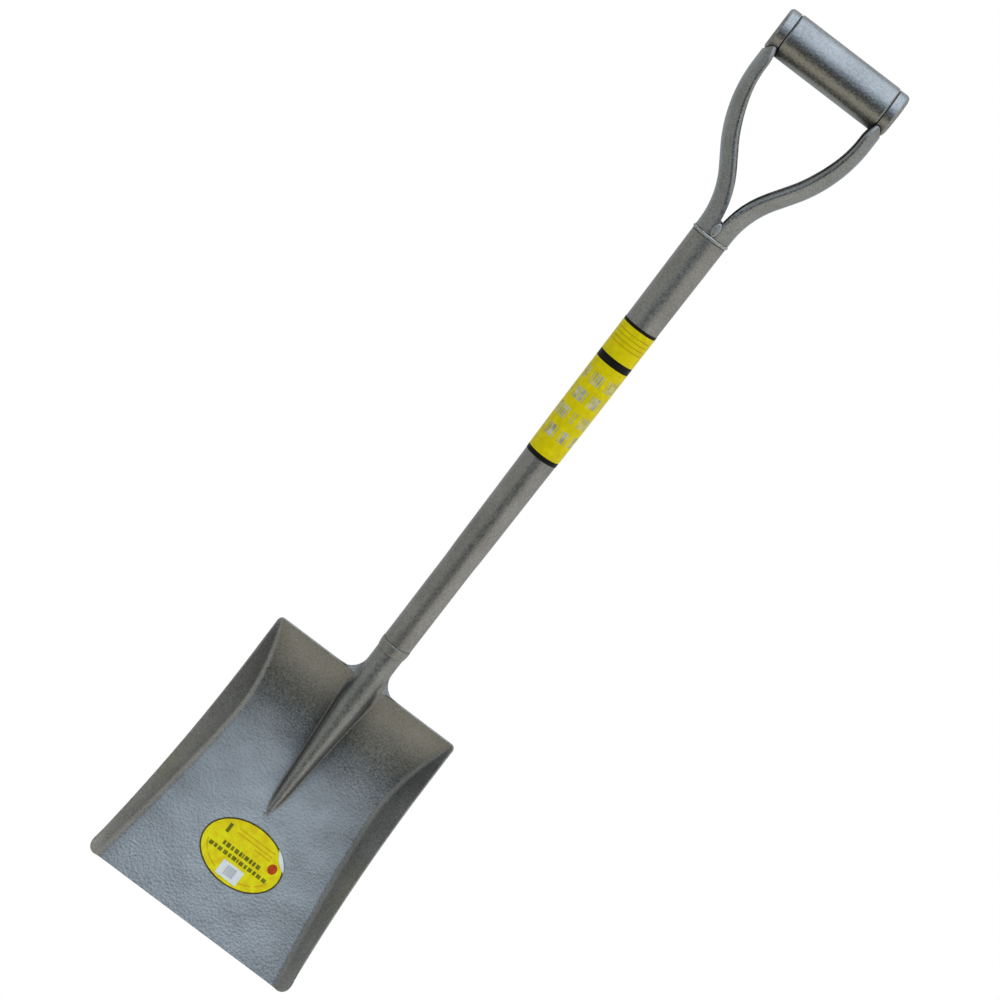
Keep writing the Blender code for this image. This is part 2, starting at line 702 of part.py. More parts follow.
def make_grip_rod(material):
    """The tie rod through grip and caps, peened over in each cap's dish."""
    seat = CAP_END - CAP_DISH + GAP
    end = CAP_END - GAP
    upper = [(0.0, end), (ROD_HEAD_RADIUS - ROD_HEAD_EDGE, end),
             (ROD_HEAD_RADIUS, end - ROD_HEAD_EDGE), (ROD_HEAD_RADIUS, seat), (ROD_RADIUS, seat)]
    lower = [(radius, -height) for radius, height in reversed(upper)]
    turned("grip_rod", upper + lower, False, material, segments=SMALL_SEGMENTS,
           location=(0.0, SHAFT_Y, SHAFT_Z + GRIP_STATION), rotation=(0.0, math.radians(90.0), 0.0))


# --------------------------------------------------------------------------------------- labels

def blade_point(x, height, z):
    """World position of a point given in the blade's own frame."""
    return (x, z * math.sin(LIFT) - height * math.cos(LIFT), z * math.cos(LIFT) + height * math.sin(LIFT))


def make_blade_label(material):
    """The oval sticker on the floor of the blade."""
    height = SHEET / 2 + LABEL_GAP + LABEL_SHEET / 2
    bpy.ops.mesh.primitive_cylinder_add(vertices=OVAL_SEGMENTS, radius=1.0, depth=1.0)
    disc = bpy.context.object
    mesh = disc.data
    bpy.data.objects.remove(disc)
    for vertex in mesh.vertices:
        x, y, z = vertex.co
        vertex.co = (x * OVAL_HALF_WIDTH, y * OVAL_HALF_HEIGHT, z * LABEL_SHEET)
    add_object("blade_label", mesh, material, location=blade_point(OVAL_X, height, OVAL_Z),
               rotation=(math.radians(90.0) - LIFT, 0.0, 0.0))


def make_code_label(material):
    """The small white sticker that lies on the oval one."""
    height = SHEET / 2 + 2 * LABEL_GAP + 1.5 * LABEL_SHEET
    bpy.ops.mesh.primitive_cube_add(size=1.0)
    card = bpy.context.object
    mesh = card.data
    bpy.data.objects.remove(card)
    for vertex in mesh.vertices:
        x, y, z = vertex.co
        vertex.co = (x * CODE_SIZE[0], y * CODE_SIZE[1], z * LABEL_SHEET)
    add_object("code_label", mesh, material, location=blade_point(CODE_X, height, CODE_Z),
               rotation=(math.radians(90.0) - LIFT, 0.0, 0.0))


def main():
    clear_scene()
    make_collection(PARTS)
    make_collection(CUTTERS)

    finishes = {name: make_material(name, *look) for name, look in MATERIALS.items()}
    paint = finishes["hammered_paint"]
    weld = finishes["painted_weld"]
    rivet = finishes["rivet_steel"]

    rivet_at = (0.0, SHAFT_Y - SPIGOT_RADIUS, SHAFT_Z + RIVET_STATION)
    head_hole = add_cutter("rivet_head_hole", RIVET_HEAD_RADIUS + GAP, RIVET_CUT, rivet_at,
                           (math.radians(90.0), 0.0, 0.0))
    shank_hole = add_cutter("rivet_shank_hole", RIVET_SHANK_RADIUS + GAP, RIVET_CUT, rivet_at,
                            (math.radians(90.0), 0.0, 0.0))
    grip_at = (0.0, SHAFT_Y, SHAFT_Z + GRIP_STATION)
    cope = add_cutter("grip_cope", GRIP_RADIUS + GAP, GRIP_CUT, grip_at,
                      (0.0, math.radians(90.0), 0.0))
    seam_at = (0.0, SHAFT_Y, SHAFT_Z + SEAM_BEAD_STATION)
    arm_clearance = add_cutter("arm_clearance", ARM_RADIUS + GAP, ARM_CUT, seam_at, (0.0, 0.0, 0.0))

    make_blade(paint, shank_hole)
    make_shaft(paint, head_hole)
    make_shaft_label(finishes["shaft_print"])
    make_socket_weld(weld)
    make_socket_rivet(rivet)
    make_yoke_weld(weld)
    make_yoke_sleeve(finishes["bare_steel"])
    for name, side in (("left_arm", -1), ("right_arm", 1)):
        make_arm(name, side, paint, cope)
    for name, side in (("front_seam_weld", -1), ("back_seam_weld", 1)):
        make_seam_weld(name, side, weld, arm_clearance)
    for name, side in (("left_cap_weld", -1), ("right_cap_weld", 1)):
        make_cap_weld(name, side, weld)
    make_grip_tube(paint)
    for name, side in (("left_grip_cap", -1), ("right_grip_cap", 1)):
        make_grip_cap(name, side, paint)
    make_grip_rod(rivet)
    make_blade_label(finishes["oval_print"])
    make_code_label(finishes["white_print"])


main()
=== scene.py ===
"""Looks of an all-steel square-mouth shovel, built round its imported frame.

Same axes as the frame, in metres: the middle of the mouth's edge is the origin, the shaft runs along +Z
and the hollow front faces -Y. Every fine piece follows the frame's own formulas with more points, and
every mesh is built in place, so that object coordinates are the frame's coordinates.
"""

import math

import bpy
from mathutils import Matrix, Quaternion, Vector, noise


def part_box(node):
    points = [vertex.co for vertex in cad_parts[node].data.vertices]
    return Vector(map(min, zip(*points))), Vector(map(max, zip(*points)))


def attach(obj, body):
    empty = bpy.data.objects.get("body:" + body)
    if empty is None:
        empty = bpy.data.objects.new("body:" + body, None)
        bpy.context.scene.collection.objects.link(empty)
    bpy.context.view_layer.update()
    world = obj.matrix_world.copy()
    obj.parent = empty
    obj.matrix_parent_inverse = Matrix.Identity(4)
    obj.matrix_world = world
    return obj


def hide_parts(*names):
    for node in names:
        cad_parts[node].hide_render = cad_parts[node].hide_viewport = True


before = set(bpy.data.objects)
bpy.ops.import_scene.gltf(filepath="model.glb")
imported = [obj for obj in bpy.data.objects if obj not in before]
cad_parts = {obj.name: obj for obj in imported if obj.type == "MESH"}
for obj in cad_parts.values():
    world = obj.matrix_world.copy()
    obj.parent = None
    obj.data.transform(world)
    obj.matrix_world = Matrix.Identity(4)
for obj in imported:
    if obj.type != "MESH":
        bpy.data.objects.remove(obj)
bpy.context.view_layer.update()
BODY = "root"

# ---- Camera: square on to the front, a little above, and rolled ----
CAMERA_TARGET = Vector((-0.0065, 0.0231, 0.5246))
CAMERA_DISTANCE = 2.1
CAMERA_AZIMUTH = math.radians(-1.53)
CAMERA_ELEVATION = math.radians(13.62)
CAMERA_ROLL = math.radians(37.54)
CAMERA_LENS = 80.8

# ---- Set: brightness and colour of the surroundings by height, from straight down to straight up ----
SURROUNDINGS = (
    (-1.00, (0.05, 0.05, 0.04)),
    (-0.92, (0.33, 0.31, 0.24)),
    (-0.72, (0.46, 0.43, 0.335)),
    (-0.52, (0.11, 0.10, 0.075)),
    (-0.36, (0.012, 0.016, 0.010)),
    (-0.10, (0.012, 0.017, 0.017)),
    (0.08, (0.16, 0.20, 0.24)),
    (0.30, (0.36, 0.43, 0.51)),
    (0.60, (0.80, 0.93, 1.08)),
    (1.00, (0.85, 0.97, 1.10)),
)
SURROUNDINGS_STRENGTH = 1.6
SIDE_START = 0.18
SIDE_END = 0.62
LEFT_COLOR = (0.26, 0.27, 0.25)
RIGHT_COLOR = (0.42, 0.42, 0.38)
BACK_START = 0.15
BACK_END = 0.75
BACK_COLOR = (0.33, 0.35, 0.36)
BACKDROP_RADIUS = 12.0
FLOOR_RADIUS = 6.0
FLOOR_DROP = 0.002
FRONT_LIGHT = {"location": (0.0, -2.4, 0.46), "target": (0.0, 0.0, 0.0), "size": 0.16, "power": 0.025,
               "spread": math.radians(13.0), "color": (0.74, 0.90, 1.08)}

# ---- Blade, in its own frame: z up from the mouth edge, height towards the front ----
LIFT = math.radians(14.0)
SHEET = 0.0020
BLADE_LENGTH = 0.2975
HEEL_START = 0.1650
HEEL_RISE = 0.0321
HEEL_POWER = 2.9
RIM_HEIGHT_MOUTH = 0.0125
RIM_HEIGHT_HEEL = 0.0335
RIM_HALF_HEEL = 0.1045
RIM_HALF_MOUTH = 0.1205
RIM_FLARE_START = 0.2600
FLOOR_HALF_MOUTH = 0.1085
FLOOR_HALF_WAIST = 0.0837
FLOOR_HALF_HEEL = 0.1025
WAIST_Z = 0.2000
FLOOR_FLARE_POWER = 1.3
SHOULDER_FLARE_POWER = 1.85
CREASE_RADIUS = 0.0050
CREASE_SHARE = 0.35
CORNER_RISE = 0.0150
CORNER_WIDTH = 0.0096
CORNER_FADE = 0.0450
REAR_CORNER = 0.0035
REAR_CORNER_FADE = 0.0115
ROW_SPACING = 0.0035
FLOOR_STEPS = 18
CREASE_STEPS = 8
FLANGE_STEPS = 12
RIM_CROWDING = 1.3
WAVE_HEIGHT = 0.00030
WAVE_SCALE = 34.0

# ---- Frog and socket ----
FROG_TIP_RADIUS = 0.0046
FROG_FULL_Z = 0.2680
FROG_WIDENING_POWER = 1.25
FOOT_RADIUS = 0.0030
FOOT_RADIUS_HEEL = 0.0150
FOOT_POWER = 3.5
FOOT_FLARE_START = 0.2420
FOOT_MARGIN = 0.0030
CREST_STEPS = 12
FOOT_STEPS = 8
AXIS_HEIGHT = 0.0394
SHAFT_FOOT = 0.3457
SOCKET_RADIUS = 0.0144
SPIGOT_RADIUS = 0.0134
SPIGOT_LENGTH = 0.0600
NECK_FILLET = 0.0200
NECK_WRAP = math.radians(92.0)
SEAM_WRAP = math.radians(176.0)
WRAP_END = 0.0100
JOGGLE_START = 0.0065
JOGGLE_END = 0.0010
FIRST_TURN = 24.0
FILLET_STEPS = 7
WRAP_STEPS = 16

# ---- Shaft tube: distance from its foot and outer radius ----
TAPER_END = 0.2720
SHAFT_PROFILE = (
    (0.0000, 0.01525), (0.1000, 0.01530), (0.1180, 0.01575), (0.2160, 0.01660),
    (TAPER_END, 0.01725), (0.4000, 0.01760), (0.4886, 0.01820),
)
SHAFT_WALL = 0.0015
SHAFT_LOW, SHAFT_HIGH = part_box("shaft_tube")
SHAFT = Matrix.Translation((0.0, (SHAFT_LOW.y + SHAFT_HIGH.y) / 2, SHAFT_LOW.z))

# ---- Yoke: the ring of weld on the tube and the runs of weld over the joint of the arms ----
BEAD_HEIGHT = 0.0038
BEAD_RADIUS = 0.0193
BEAD_EDGE = 0.0019
SLEEVE_RADIUS = 0.0163
SEAM_BEAD_HALF_SIZES = (0.0036, 0.0011, 0.0070)
SEAM_BEAD_STATION = 0.5000

# ---- D handle ----
ARM_BASE = 0.4930
ARM_RADIUS = 0.01835
ARM_SHEET = 0.0016
ARM_HALF_ARC = 0.0275
ARM_BEND_START = 0.4970
ARM_LEAN = math.radians(33.5)
ARM_LOWER_BEND = 0.0880
ARM_UPPER_BEND = 0.1400
ARM_OUTER = 0.0663
ARM_DEPTH_TOP = 0.0128
ARM_OPEN_START = 0.5750
ARM_OPEN_END = 0.6420
ARM_TRIM_START = 0.6430
ARM_TRIM_LENGTH = 0.0190
ARM_TRIM = 0.0065
ARM_TOP_DROP = 0.0020
LIP_LENGTH = 0.0062
LIP_RADIUS = 0.0042
LIP_START = 0.5080
LIP_FULL = 0.5450
ARM_COLUMNS = 65
ARM_STEPS = 60
TRIM_STEPS = 10
SHALLOWEST_ARC = 0.3
BISECTIONS = 40
GRIP_STATION = 0.6744
GRIP_RADIUS = 0.0225
GRIP_HALF = 0.0552
GRIP_WALL = 0.0016
GRIP_EDGE = 0.0025
GRIP_EDGE_TURN = 60.0
GRIP_CUT = 0.2000
CAP_RADIUS = 0.0218
CAP_END = 0.0665
CAP_EDGE = 0.0040
CAP_WALL = 0.0018
CAP_DISH = 0.0022
CAP_DISH_RADIUS = 0.0095
CAP_FACE_RADIUS = 0.0150
CAP_FACE_DROP = 0.0004
CAP_INNER_DROP = 0.0011
CAP_SKIRT = 0.0080
ROD_RADIUS = 0.0040

# ---- Socket weld ----
WELD_LENGTH = 0.0110
WELD_RADIUS = 0.01575
WELD_TOE = 0.01495
WELD_SHOULDER = 0.0015
WELD_STEPS = 10

# ---- Labels: thickness of film and ink, and the clearance under each film ----
LABEL_SHEET = 0.0002
LABEL_GAP = 0.0001
INK = 0.00005

# ---- Shaft label: stations above the shaft's foot; rows reach round the tube by a turn in radians ----
SHAFT_LABEL_START = 0.2320
SHAFT_LABEL_END = 0.3870
BAND_YELLOW = (0.97, 0.80, 0.003)
BAND_BLACK = (0.012, 0.012, 0.010)
WRAP_BANDS = ((SHAFT_LABEL_START, BAND_BLACK), (0.2365, BAND_YELLOW), (0.3420, BAND_BLACK),
              (0.3495, BAND_YELLOW), (0.3835, BAND_BLACK))
WRAP_ROWS = ((0.3247, (2, 3, 2, 1, 3, 2, 2)), (0.3046, (3, 2, 2, 3, 1, 2, 3)),
             (0.2827, (2, 2, 1, 3, 3, 2, 2)), (0.2617, (3, 1, 2, 3, 2, 3, 2)))
WRAP_ROW = {"length": 2.5, "height": 0.0125, "gap": 0.26}
WRAP_LINES = (0.3777, 0.3732, 0.3686, 0.3640)
WRAP_LINE = {"length": 2.2, "height": 0.0011, "gap": 0.12, "widths": (1,) * 15}
WRAP_INK = 0.00012

# ---- Oval label: places are measured from its middle, turns in degrees from +X towards +Z ----
OVAL_HALF_WIDTH = 0.0450
OVAL_HALF_HEIGHT = 0.0330
OVAL_X = 0.0050
OVAL_Z = 0.0843
OVAL_POINTS = 128
OVAL_CALM = 0.5
OUTLINE_WIDTH = 0.0014
OUTLINE_PITCH = 45
OUTLINE_TURN = 44.8
OUTLINE_STEPS = 16
OVAL_ROWS = (
    {"across": -0.0003, "up": 0.0005, "length": 0.046, "height": 0.0046, "gap": 0.30,
     "widths": (2, 3, 2, 3, 2, 1, 3, 2, 2, 3)},
    {"across": 0.0, "up": -0.0068, "length": 0.070, "height": 0.0042, "gap": 0.28,
     "widths": (3, 2, 3, 3, 2, 3, 1, 3, 2, 3, 2, 3, 3)},
)
UPRIGHT_BLOCK = {"across": -0.026, "up": 0.0150, "width": 0.0036, "height": 0.0100}
OVAL_LINES = (
    {"across": 0.0043, "up": 0.0205, "width": 0.043, "height": 0.0012},
    {"across": 0.0043, "up": 0.0160, "width": 0.043, "height": 0.0012},
    {"across": 0.016, "up": 0.0122, "width": 0.019, "height": 0.0012},
)
CURVED_LINE_STARTS = range(190, 319, 32)
CURVED_LINE_TURN = 26
CURVED_LINE_STEPS = 8
CURVED_LINE_OUTER = 0.0068
CURVED_LINE_INNER = 0.0080
DOT_ACROSS = 0.0322
DOT_UP = 0.0071
DOT_HALF_WIDTH = 0.0048
DOT_HALF_HEIGHT = 0.0053
DOT_POINTS = 32
PEEL_START = 18
PEEL_END = 54
PEEL_STEPS = 24
PEEL_OVERHANG = 0.0002
PEEL_EDGE = 0.0001
PEEL_DEPTH = 0.0042
PEEL_THICKNESS = 0.0004

# ---- Small white sticker ----
CODE_WIDTH = 0.0245
CODE_HEIGHT = 0.0157
CODE_X = 0.0055
CODE_Z = 0.0640
CODE_BARS_RISE = 0.0006
CODE_BARS = {"length": 0.0110, "height": 0.0105, "gap": 0.45,
             "widths": (1, 2, 1, 1, 3, 1, 2, 1, 1, 2, 3, 1)}

# ---- Paint and metal: greys are 0 to 1, warmth leans them to brown and negative warmth to blue ----
NOISE_LOW = 0.3
NOISE_HIGH = 0.7
# One real finish. The tube's slight brown lean and the handle's slight blue lean are painted reflection of
# warm ground and cool sky
HAMMERED_PAINTS = {
    "blade_paint": {"dark": 0.24, "light": 0.42, "roughness": 0.38, "metallic": 0.85, "warmth": 0.0},
    "tube_paint": {"dark": 0.25, "light": 0.43, "roughness": 0.36, "metallic": 0.80, "warmth": 0.03},
    "handle_paint": {"dark": 0.25, "light": 0.43, "roughness": 0.28, "metallic": 0.85, "warmth": -0.01},
}
CELL_SCALE = 380.0
FLECK_SCALE = 560.0
FLECK_RELIEF = 0.6
PATCH_SCALE = 30.0
PATCH_SHARE = 0.45
SHEEN_SPREAD = 0.07
# Painted shade: how far ambient occlusion reaches, and the warm near-black that it darkens hollows and
# corners to
PAINTED_SHADE_REACH = 0.045
PAINTED_SHADE_DARKEST = 0.06
PAINTED_SHADE_WARMTH = 0.06
WELD_GREY = 0.55
WELD_ROUGHNESS = 0.34
WELD_METALLIC = 0.6
WELD_SCALE = 520.0
STEELS = {
    "rivet_metal": {"value": 0.25, "roughness": 0.45},
    "bare_metal": {"value": 0.45, "roughness": 0.40},
}
STEEL_METALLIC = 0.9
STAIN_SCALE = 260.0
TURNING_SCALE = 1500.0

# ---- Films and inks: the two near shades that each is mottled between, and roughness if its own ----
FILMS = {
    "silver_ink": ((0.40, 0.39, 0.24), (0.78, 0.76, 0.62), 0.30),
    "brown_ink": ((0.62, 0.44, 0.004), (0.70, 0.52, 0.006)),
    "oval_film": ((0.88, 0.66, 0.003), (0.97, 0.88, 0.004)),
    "edge_ink": ((0.05, 0.04, 0.01), (0.10, 0.08, 0.02)),
    "dark_ink": ((0.13, 0.14, 0.006), (0.26, 0.25, 0.008)),
    "orange_ink": ((0.72, 0.44, 0.003), (0.80, 0.52, 0.004)),
    "red_ink": ((0.50, 0.05, 0.005), (0.60, 0.08, 0.008)),
    "white_film": ((0.84, 0.86, 0.86), (0.92, 0.94, 0.94)),
    "pale_ink": ((0.34, 0.36, 0.38), (0.46, 0.48, 0.50)),
}
FILM_ROUGHNESS = 0.38
FILM_SPECULAR = 0.12
FILM_MOTTLE_SCALE = 140.0
FILM_CREASE_SCALE = 90.0
SCUFF_SCALE = 160.0
SCUFF_DARKEST = 0.86
SCUFF_LIGHTEST = 1.08

# ---- Rounded edges, and lumps of weld as (size, height) ----
BLADE_ROUNDING = 0.0003
BLADE_ROUNDING_SEGMENTS = 3
TUBE_ROUNDING = 0.0004
ARM_ROUNDING = 0.0005
GRIP_ROUNDING = 0.0003
CAP_ROUNDING = 0.0003
NODE_ROUNDING = 0.0002
SOCKET_WELD_LUMPS = (0.0035, 0.0003)
YOKE_WELD_LUMPS = (0.0040, 0.0008)
SEAM_LUMPS = (0.0030, 0.0006)
CAP_WELD_LUMPS = (0.0030, 0.0004)

# ---- Shared: clearance between pieces, fineness of the meshes, and places ----
GAP = 0.0003
SEGMENTS = 128
ARC_STEPS = 10
MERGE_DISTANCE = 0.00001
SHARP_ANGLE = math.radians(38.0)
BLADE = Matrix.Rotation(-LIFT, 4, "X")
GRIP = SHAFT @ Matrix.Translation((0.0, 0.0, GRIP_STATION))


# ======== Materials ========

def add_node(tree, kind, settings=None, **inputs):
    """A shader node; inputs are numbers, colours or other nodes' sockets, by name with _ for spaces."""
    made = tree.nodes.new("ShaderNode" + kind)
    for key, value in (settings or {}).items():
        setattr(made, key, value)
    for key, value in inputs.items():
        socket = made.inputs[key.replace("_", " ")]
        if isinstance(value, bpy.types.NodeSocket):
            tree.links.new(value, socket)
        else:
            socket.default_value = value
    return made


def start_material(name, metallic, roughness):
    """A new principled material, its node tree, its shader and the frame's coordinates."""
    material = bpy.data.materials.new(name)
    material.use_nodes = True
    tree = material.node_tree
    shader = tree.nodes["Principled BSDF"]
    shader.inputs["Metallic"].default_value = metallic
    shader.inputs["Roughness"].default_value = roughness
    place = add_node(tree, "TexCoord").outputs["Object"]
    return material, tree, shader, place


def ramp(tree, factor, stops, interpolation="LINEAR"):
    """A colour ramp: stops are (position, colour) pairs in rising order."""
    made = add_node(tree, "ValToRGB", Fac=factor)
    made.color_ramp.interpolation = interpolation
    elements = made.color_ramp.elements
    while len(elements) < len(stops):
        elements.new(1.0)
    for element, (position, color) in zip(elements, stops):
        element.position = position
        element.color = (*color, 1.0)
    return made.outputs["Color"]


def mottle(tree, place, scale, detail=3.0):
    """A cloudy pattern from 0 to 1."""
    return add_node(tree, "TexNoise", Vector=place, Scale=scale, Detail=detail).outputs["Fac"]


def weighted_sum(tree, first, weight, second):
    """First times weight, plus second."""
    made = add_node(tree, "Math", {"operation": "MULTIPLY_ADD"})
    tree.links.new(first, made.inputs[0])
    made.inputs[1].default_value = weight
    tree.links.new(second, made.inputs[2])
    return made.outputs["Value"]


def bump(tree, shader, height, strength, distance):
    """Small relief in the shading from a height pattern."""
    made = add_node(tree, "Bump", Height=height, Strength=strength, Distance=distance)
    tree.links.new(made.outputs["Normal"], shader.inputs["Normal"])


def grey(value, warmth=0.0):
    """A grey that leans to brown with positive warmth and to blue with negative warmth."""
    return (value * (1.0 + warmth), value, value * (1.0 - warmth))


def hammered_paint(name, dark, light, roughness, metallic, warmth):
    """Silver hammer-finish paint: pooled cells, fine flecks, uneven patches and painted shade in hollows."""
    material, tree, shader, place = start_material(name, metallic, roughness)
    cells = add_node(tree, "TexVoronoi", {"feature": "SMOOTH_F1"}, Vector=place, Scale=CELL_SCALE,
                     Smoothness=0.8)
    flecks = mottle(tree, place, FLECK_SCALE)
    patches = mottle(tree, place, PATCH_SCALE, detail=4.0)
    fine = weighted_sum(tree, flecks, FLECK_RELIEF, cells.outputs["Distance"])
    blend = weighted_sum(tree, patches, PATCH_SHARE, flecks)
    color = ramp(tree, blend, ((0.50, grey(dark, warmth)), (0.95, grey(light, warmth))))
    # Painted shade: ambient occlusion darkens the colour in the frog's valleys, the creases and other hollows
    open_air = add_node(tree, "AmbientOcclusion", {"samples": 6}, Distance=PAINTED_SHADE_REACH)
    painted_shade = ramp(tree, open_air.outputs["AO"], ((0.38, grey(PAINTED_SHADE_DARKEST, PAINTED_SHADE_WARMTH)), (0.96, grey(1.0))))
    shaded_color = add_node(tree, "MixRGB", {"blend_type": "MULTIPLY"}, Fac=1.0, Color1=color, Color2=painted_shade)
    tree.links.new(shaded_color.outputs["Color"], shader.inputs["Base Color"])
    sheen = add_node(tree, "MapRange", Value=flecks, From_Min=NOISE_LOW, From_Max=NOISE_HIGH,
                     To_Min=roughness - SHEEN_SPREAD, To_Max=roughness + SHEEN_SPREAD)
    tree.links.new(sheen.outputs["Result"], shader.inputs["Roughness"])
    bump(tree, shader, fine, strength=0.30, distance=0.0004)
    return material


def painted_weld():
    """Weld bead under the same paint: coarser lumps, with a painted highlight that lightens their crests."""
    material, tree, shader, place = start_material("weld_paint", WELD_METALLIC, WELD_ROUGHNESS)
    lumps = mottle(tree, place, WELD_SCALE, detail=4.0)
    # Painted highlight: the colour follows the bump's lumps, lighter on their crests and darker in their dips
    color = ramp(tree, lumps, ((0.35, grey(WELD_GREY * 0.6)), (0.65, grey(WELD_GREY))))
    tree.links.new(color, shader.inputs["Base Color"])
    bump(tree, shader, lumps, strength=0.5, distance=0.0005)
    return material


def plain_steel(name, value, roughness):
    """Uncoated steel: fine turning marks and slight staining."""
    material, tree, shader, place = start_material(name, STEEL_METALLIC, roughness)
    stains = mottle(tree, place, STAIN_SCALE)
    color = ramp(tree, stains, ((0.35, grey(value * 0.65, 0.04)), (0.7, grey(value, 0.02))))
    tree.links.new(color, shader.inputs["Base Color"])
    bump(tree, shader, mottle(tree, place, TURNING_SCALE), strength=0.2, distance=0.0002)
    return material


def start_film(name, roughness):
    """A new material for glossy film or ink, with faint creases."""
    material, tree, shader, place = start_material(name, 0.0, roughness)
    shader.inputs["Specular IOR Level"].default_value = FILM_SPECULAR
    creases = mottle(tree, place, FILM_CREASE_SCALE, detail=2.0)
    bump(tree, shader, creases, strength=0.12, distance=0.0006)
    return material, tree, shader, place


def printed_film(name, first, second, roughness=FILM_ROUGHNESS):
    """Film or ink mottled between two near shades."""
    material, tree, shader, place = start_film(name, roughness)
    color = ramp(tree, mottle(tree, place, FILM_MOTTLE_SCALE), ((0.35, first), (0.65, second)))
    tree.links.new(color, shader.inputs["Base Color"])
    return material


def wrap_film():
    """Scuffed film printed in flat bands that follow each other up the shaft."""
    material, tree, shader, place = start_film("wrap_film", FILM_ROUGHNESS)
    low = SHAFT_LOW.z + SHAFT_LABEL_START
    high = SHAFT_LOW.z + SHAFT_LABEL_END
    height = add_node(tree, "SeparateXYZ", Vector=place).outputs["Z"]
    share = add_node(tree, "MapRange", Value=height, From_Min=low, From_Max=high)
    stops = [((SHAFT_LOW.z + start - low) / (high - low), color) for start, color in WRAP_BANDS]
    printed = ramp(tree, share.outputs["Result"], stops, "CONSTANT")
    scuffed = add_node(tree, "HueSaturation", Color=printed)
    scuffs = mottle(tree, place, SCUFF_SCALE)
    value = add_node(tree, "MapRange", Value=scuffs, From_Min=NOISE_LOW, From_Max=NOISE_HIGH,
                     To_Min=SCUFF_DARKEST, To_Max=SCUFF_LIGHTEST)
    tree.links.new(value.outputs["Result"], scuffed.inputs["Value"])
    tree.links.new(scuffed.outputs["Color"], shader.inputs["Base Color"])
    return material


def make_materials():
    """Every material, by name."""
    looks = {name: hammered_paint(name, **look) for name, look in HAMMERED_PAINTS.items()}
    looks.update({name: plain_steel(name, **look) for name, look in STEELS.items()})
    looks.update({name: printed_film(name, *look) for name, look in FILMS.items()})
    looks["weld_paint"] = painted_weld()
    looks["wrap_film"] = wrap_film()
    return looks


# ======== Pieces ========

def add_piece(name, mesh, material, slot, *nodes):
    """A finished mesh as a piece that rides on the one body and stands for its CAD nodes."""
    piece = bpy.data.objects.new(name, mesh)
    mesh.materials.clear()
    mesh.materials.append(material)
    mesh.shade_smooth()
    mesh.set_sharp_from_angle(angle=SHARP_ANGLE)
    bpy.context.scene.collection.objects.link(piece)
    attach(piece, BODY)
    if nodes:
        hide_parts(*nodes)
    return piece


def round_edges(piece, width, segments=2):
    """Small rounds on every edge sharper than SHARP_ANGLE."""
    bevel = piece.modifiers.new("round_edges", "BEVEL")
    bevel.width = width
    bevel.segments = segments
    bevel.limit_method = "ANGLE"
    bevel.angle_limit = SHARP_ANGLE
    bevel.harden_normals = True


def thicken(piece, thickness):
    """Give an open sheet its thickness, behind the face that was drawn."""
    shell = piece.modifiers.new("sheet", "SOLIDIFY")
    shell.thickness = thickness
    shell.offset = -1.0
    shell.use_even_offset = True


def roughen(piece, size, height):
    """Uneven lumps in the surface itself, from a cloud pattern fixed in space."""
    lumps = bpy.data.textures.new(piece.name + "_lumps", "CLOUDS")
    lumps.noise_scale = size
    displace = piece.modifiers.new("lumps", "DISPLACE")
    displace.texture = lumps
    displace.texture_coords = "GLOBAL"
    displace.strength = height
    displace.mid_level = 0.5


def settle(piece):
    """Fix the modifiers' result into the piece's own mesh."""
    graph = bpy.context.evaluated_depsgraph_get()
    mesh = bpy.data.meshes.new_from_object(piece.evaluated_get(graph), depsgraph=graph)
    piece.modifiers.clear()
    piece.data = mesh


def mesh_from(name, points, faces, place):
    """A mesh from points and faces, moved to its place in the frame."""
    mesh = bpy.data.meshes.new(name)
    mesh.from_pydata(points, [], faces)
    mesh.transform(place)
    mesh.update()
    return mesh


def turned(name, profile, closed, place, segments=SEGMENTS):
    """(radius, height) points, outer side first and from the top down, turned about Z."""
    points = []
    rings = []
    for radius, height in profile:
        count = segments if radius > 0.0 else 1
        rings.append(range(len(points), len(points) + count))
        for step in range(count):
            angle = math.tau * step / segments
            points.append((radius * math.cos(angle), radius * math.sin(angle), height))
    pairs = list(zip(rings, rings[1:]))
    if closed:
        pairs.append((rings[-1], rings[0]))
    faces = []
    for upper, lower in pairs:
        for step in range(segments):
            after = step + 1
            corners = (upper[step % len(upper)], lower[step % len(lower)],
                       lower[after % len(lower)], upper[after % len(upper)])
            faces.append(tuple(dict.fromkeys(corners)))
    return mesh_from(name, points, faces, place)


def arc(center_r, center_z, radius, start, end, steps=ARC_STEPS):
    """Points of a profile's round stretch; angles are in degrees from +radius towards +height."""
    points = []
    for step in range(steps + 1):
        angle = math.radians(start + (end - start) * step / steps)
        points.append((center_r + radius * math.cos(angle), center_z + radius * math.sin(angle)))
    return points


def sheet_mesh(name, rows, place, flip=False):
    """An open sheet from rows of points; a row may end early on its outer side."""
    points = []
    starts = []
    for row in rows:
        starts.append(len(points))
        points.extend(row)
    faces = []
    for index in range(len(rows) - 1):
        lower, upper = starts[index], starts[index + 1]
        for column in range(min(len(rows[index]), len(rows[index + 1])) - 1):
            face = (lower + column, lower + column + 1, upper + column + 1, upper + column)
            faces.append(face[::-1] if flip else face)
    return mesh_from(name, points, faces, place)


def plates(name, outlines, low, high, to_point):
    """Thin closed plates: each outline is (across, along) points, raised from low to high."""
    points = []
    faces = []
    for outline in outlines:
        start = len(points)
        count = len(outline)
        for height in (low, high):
            points.extend(to_point(across, along, height) for across, along in outline)
        faces.append(tuple(start + index for index in reversed(range(count))))
        faces.append(tuple(start + count + index for index in range(count)))
        for index in range(count):
            after = (index + 1) % count
            faces.append((start + index, start + after, start + count + after, start + count + index))
    return mesh_from(name, points, faces, Matrix.Identity(4))


def clamp(value):
    """Value kept between 0 and 1."""
    return min(max(value, 0.0), 1.0)


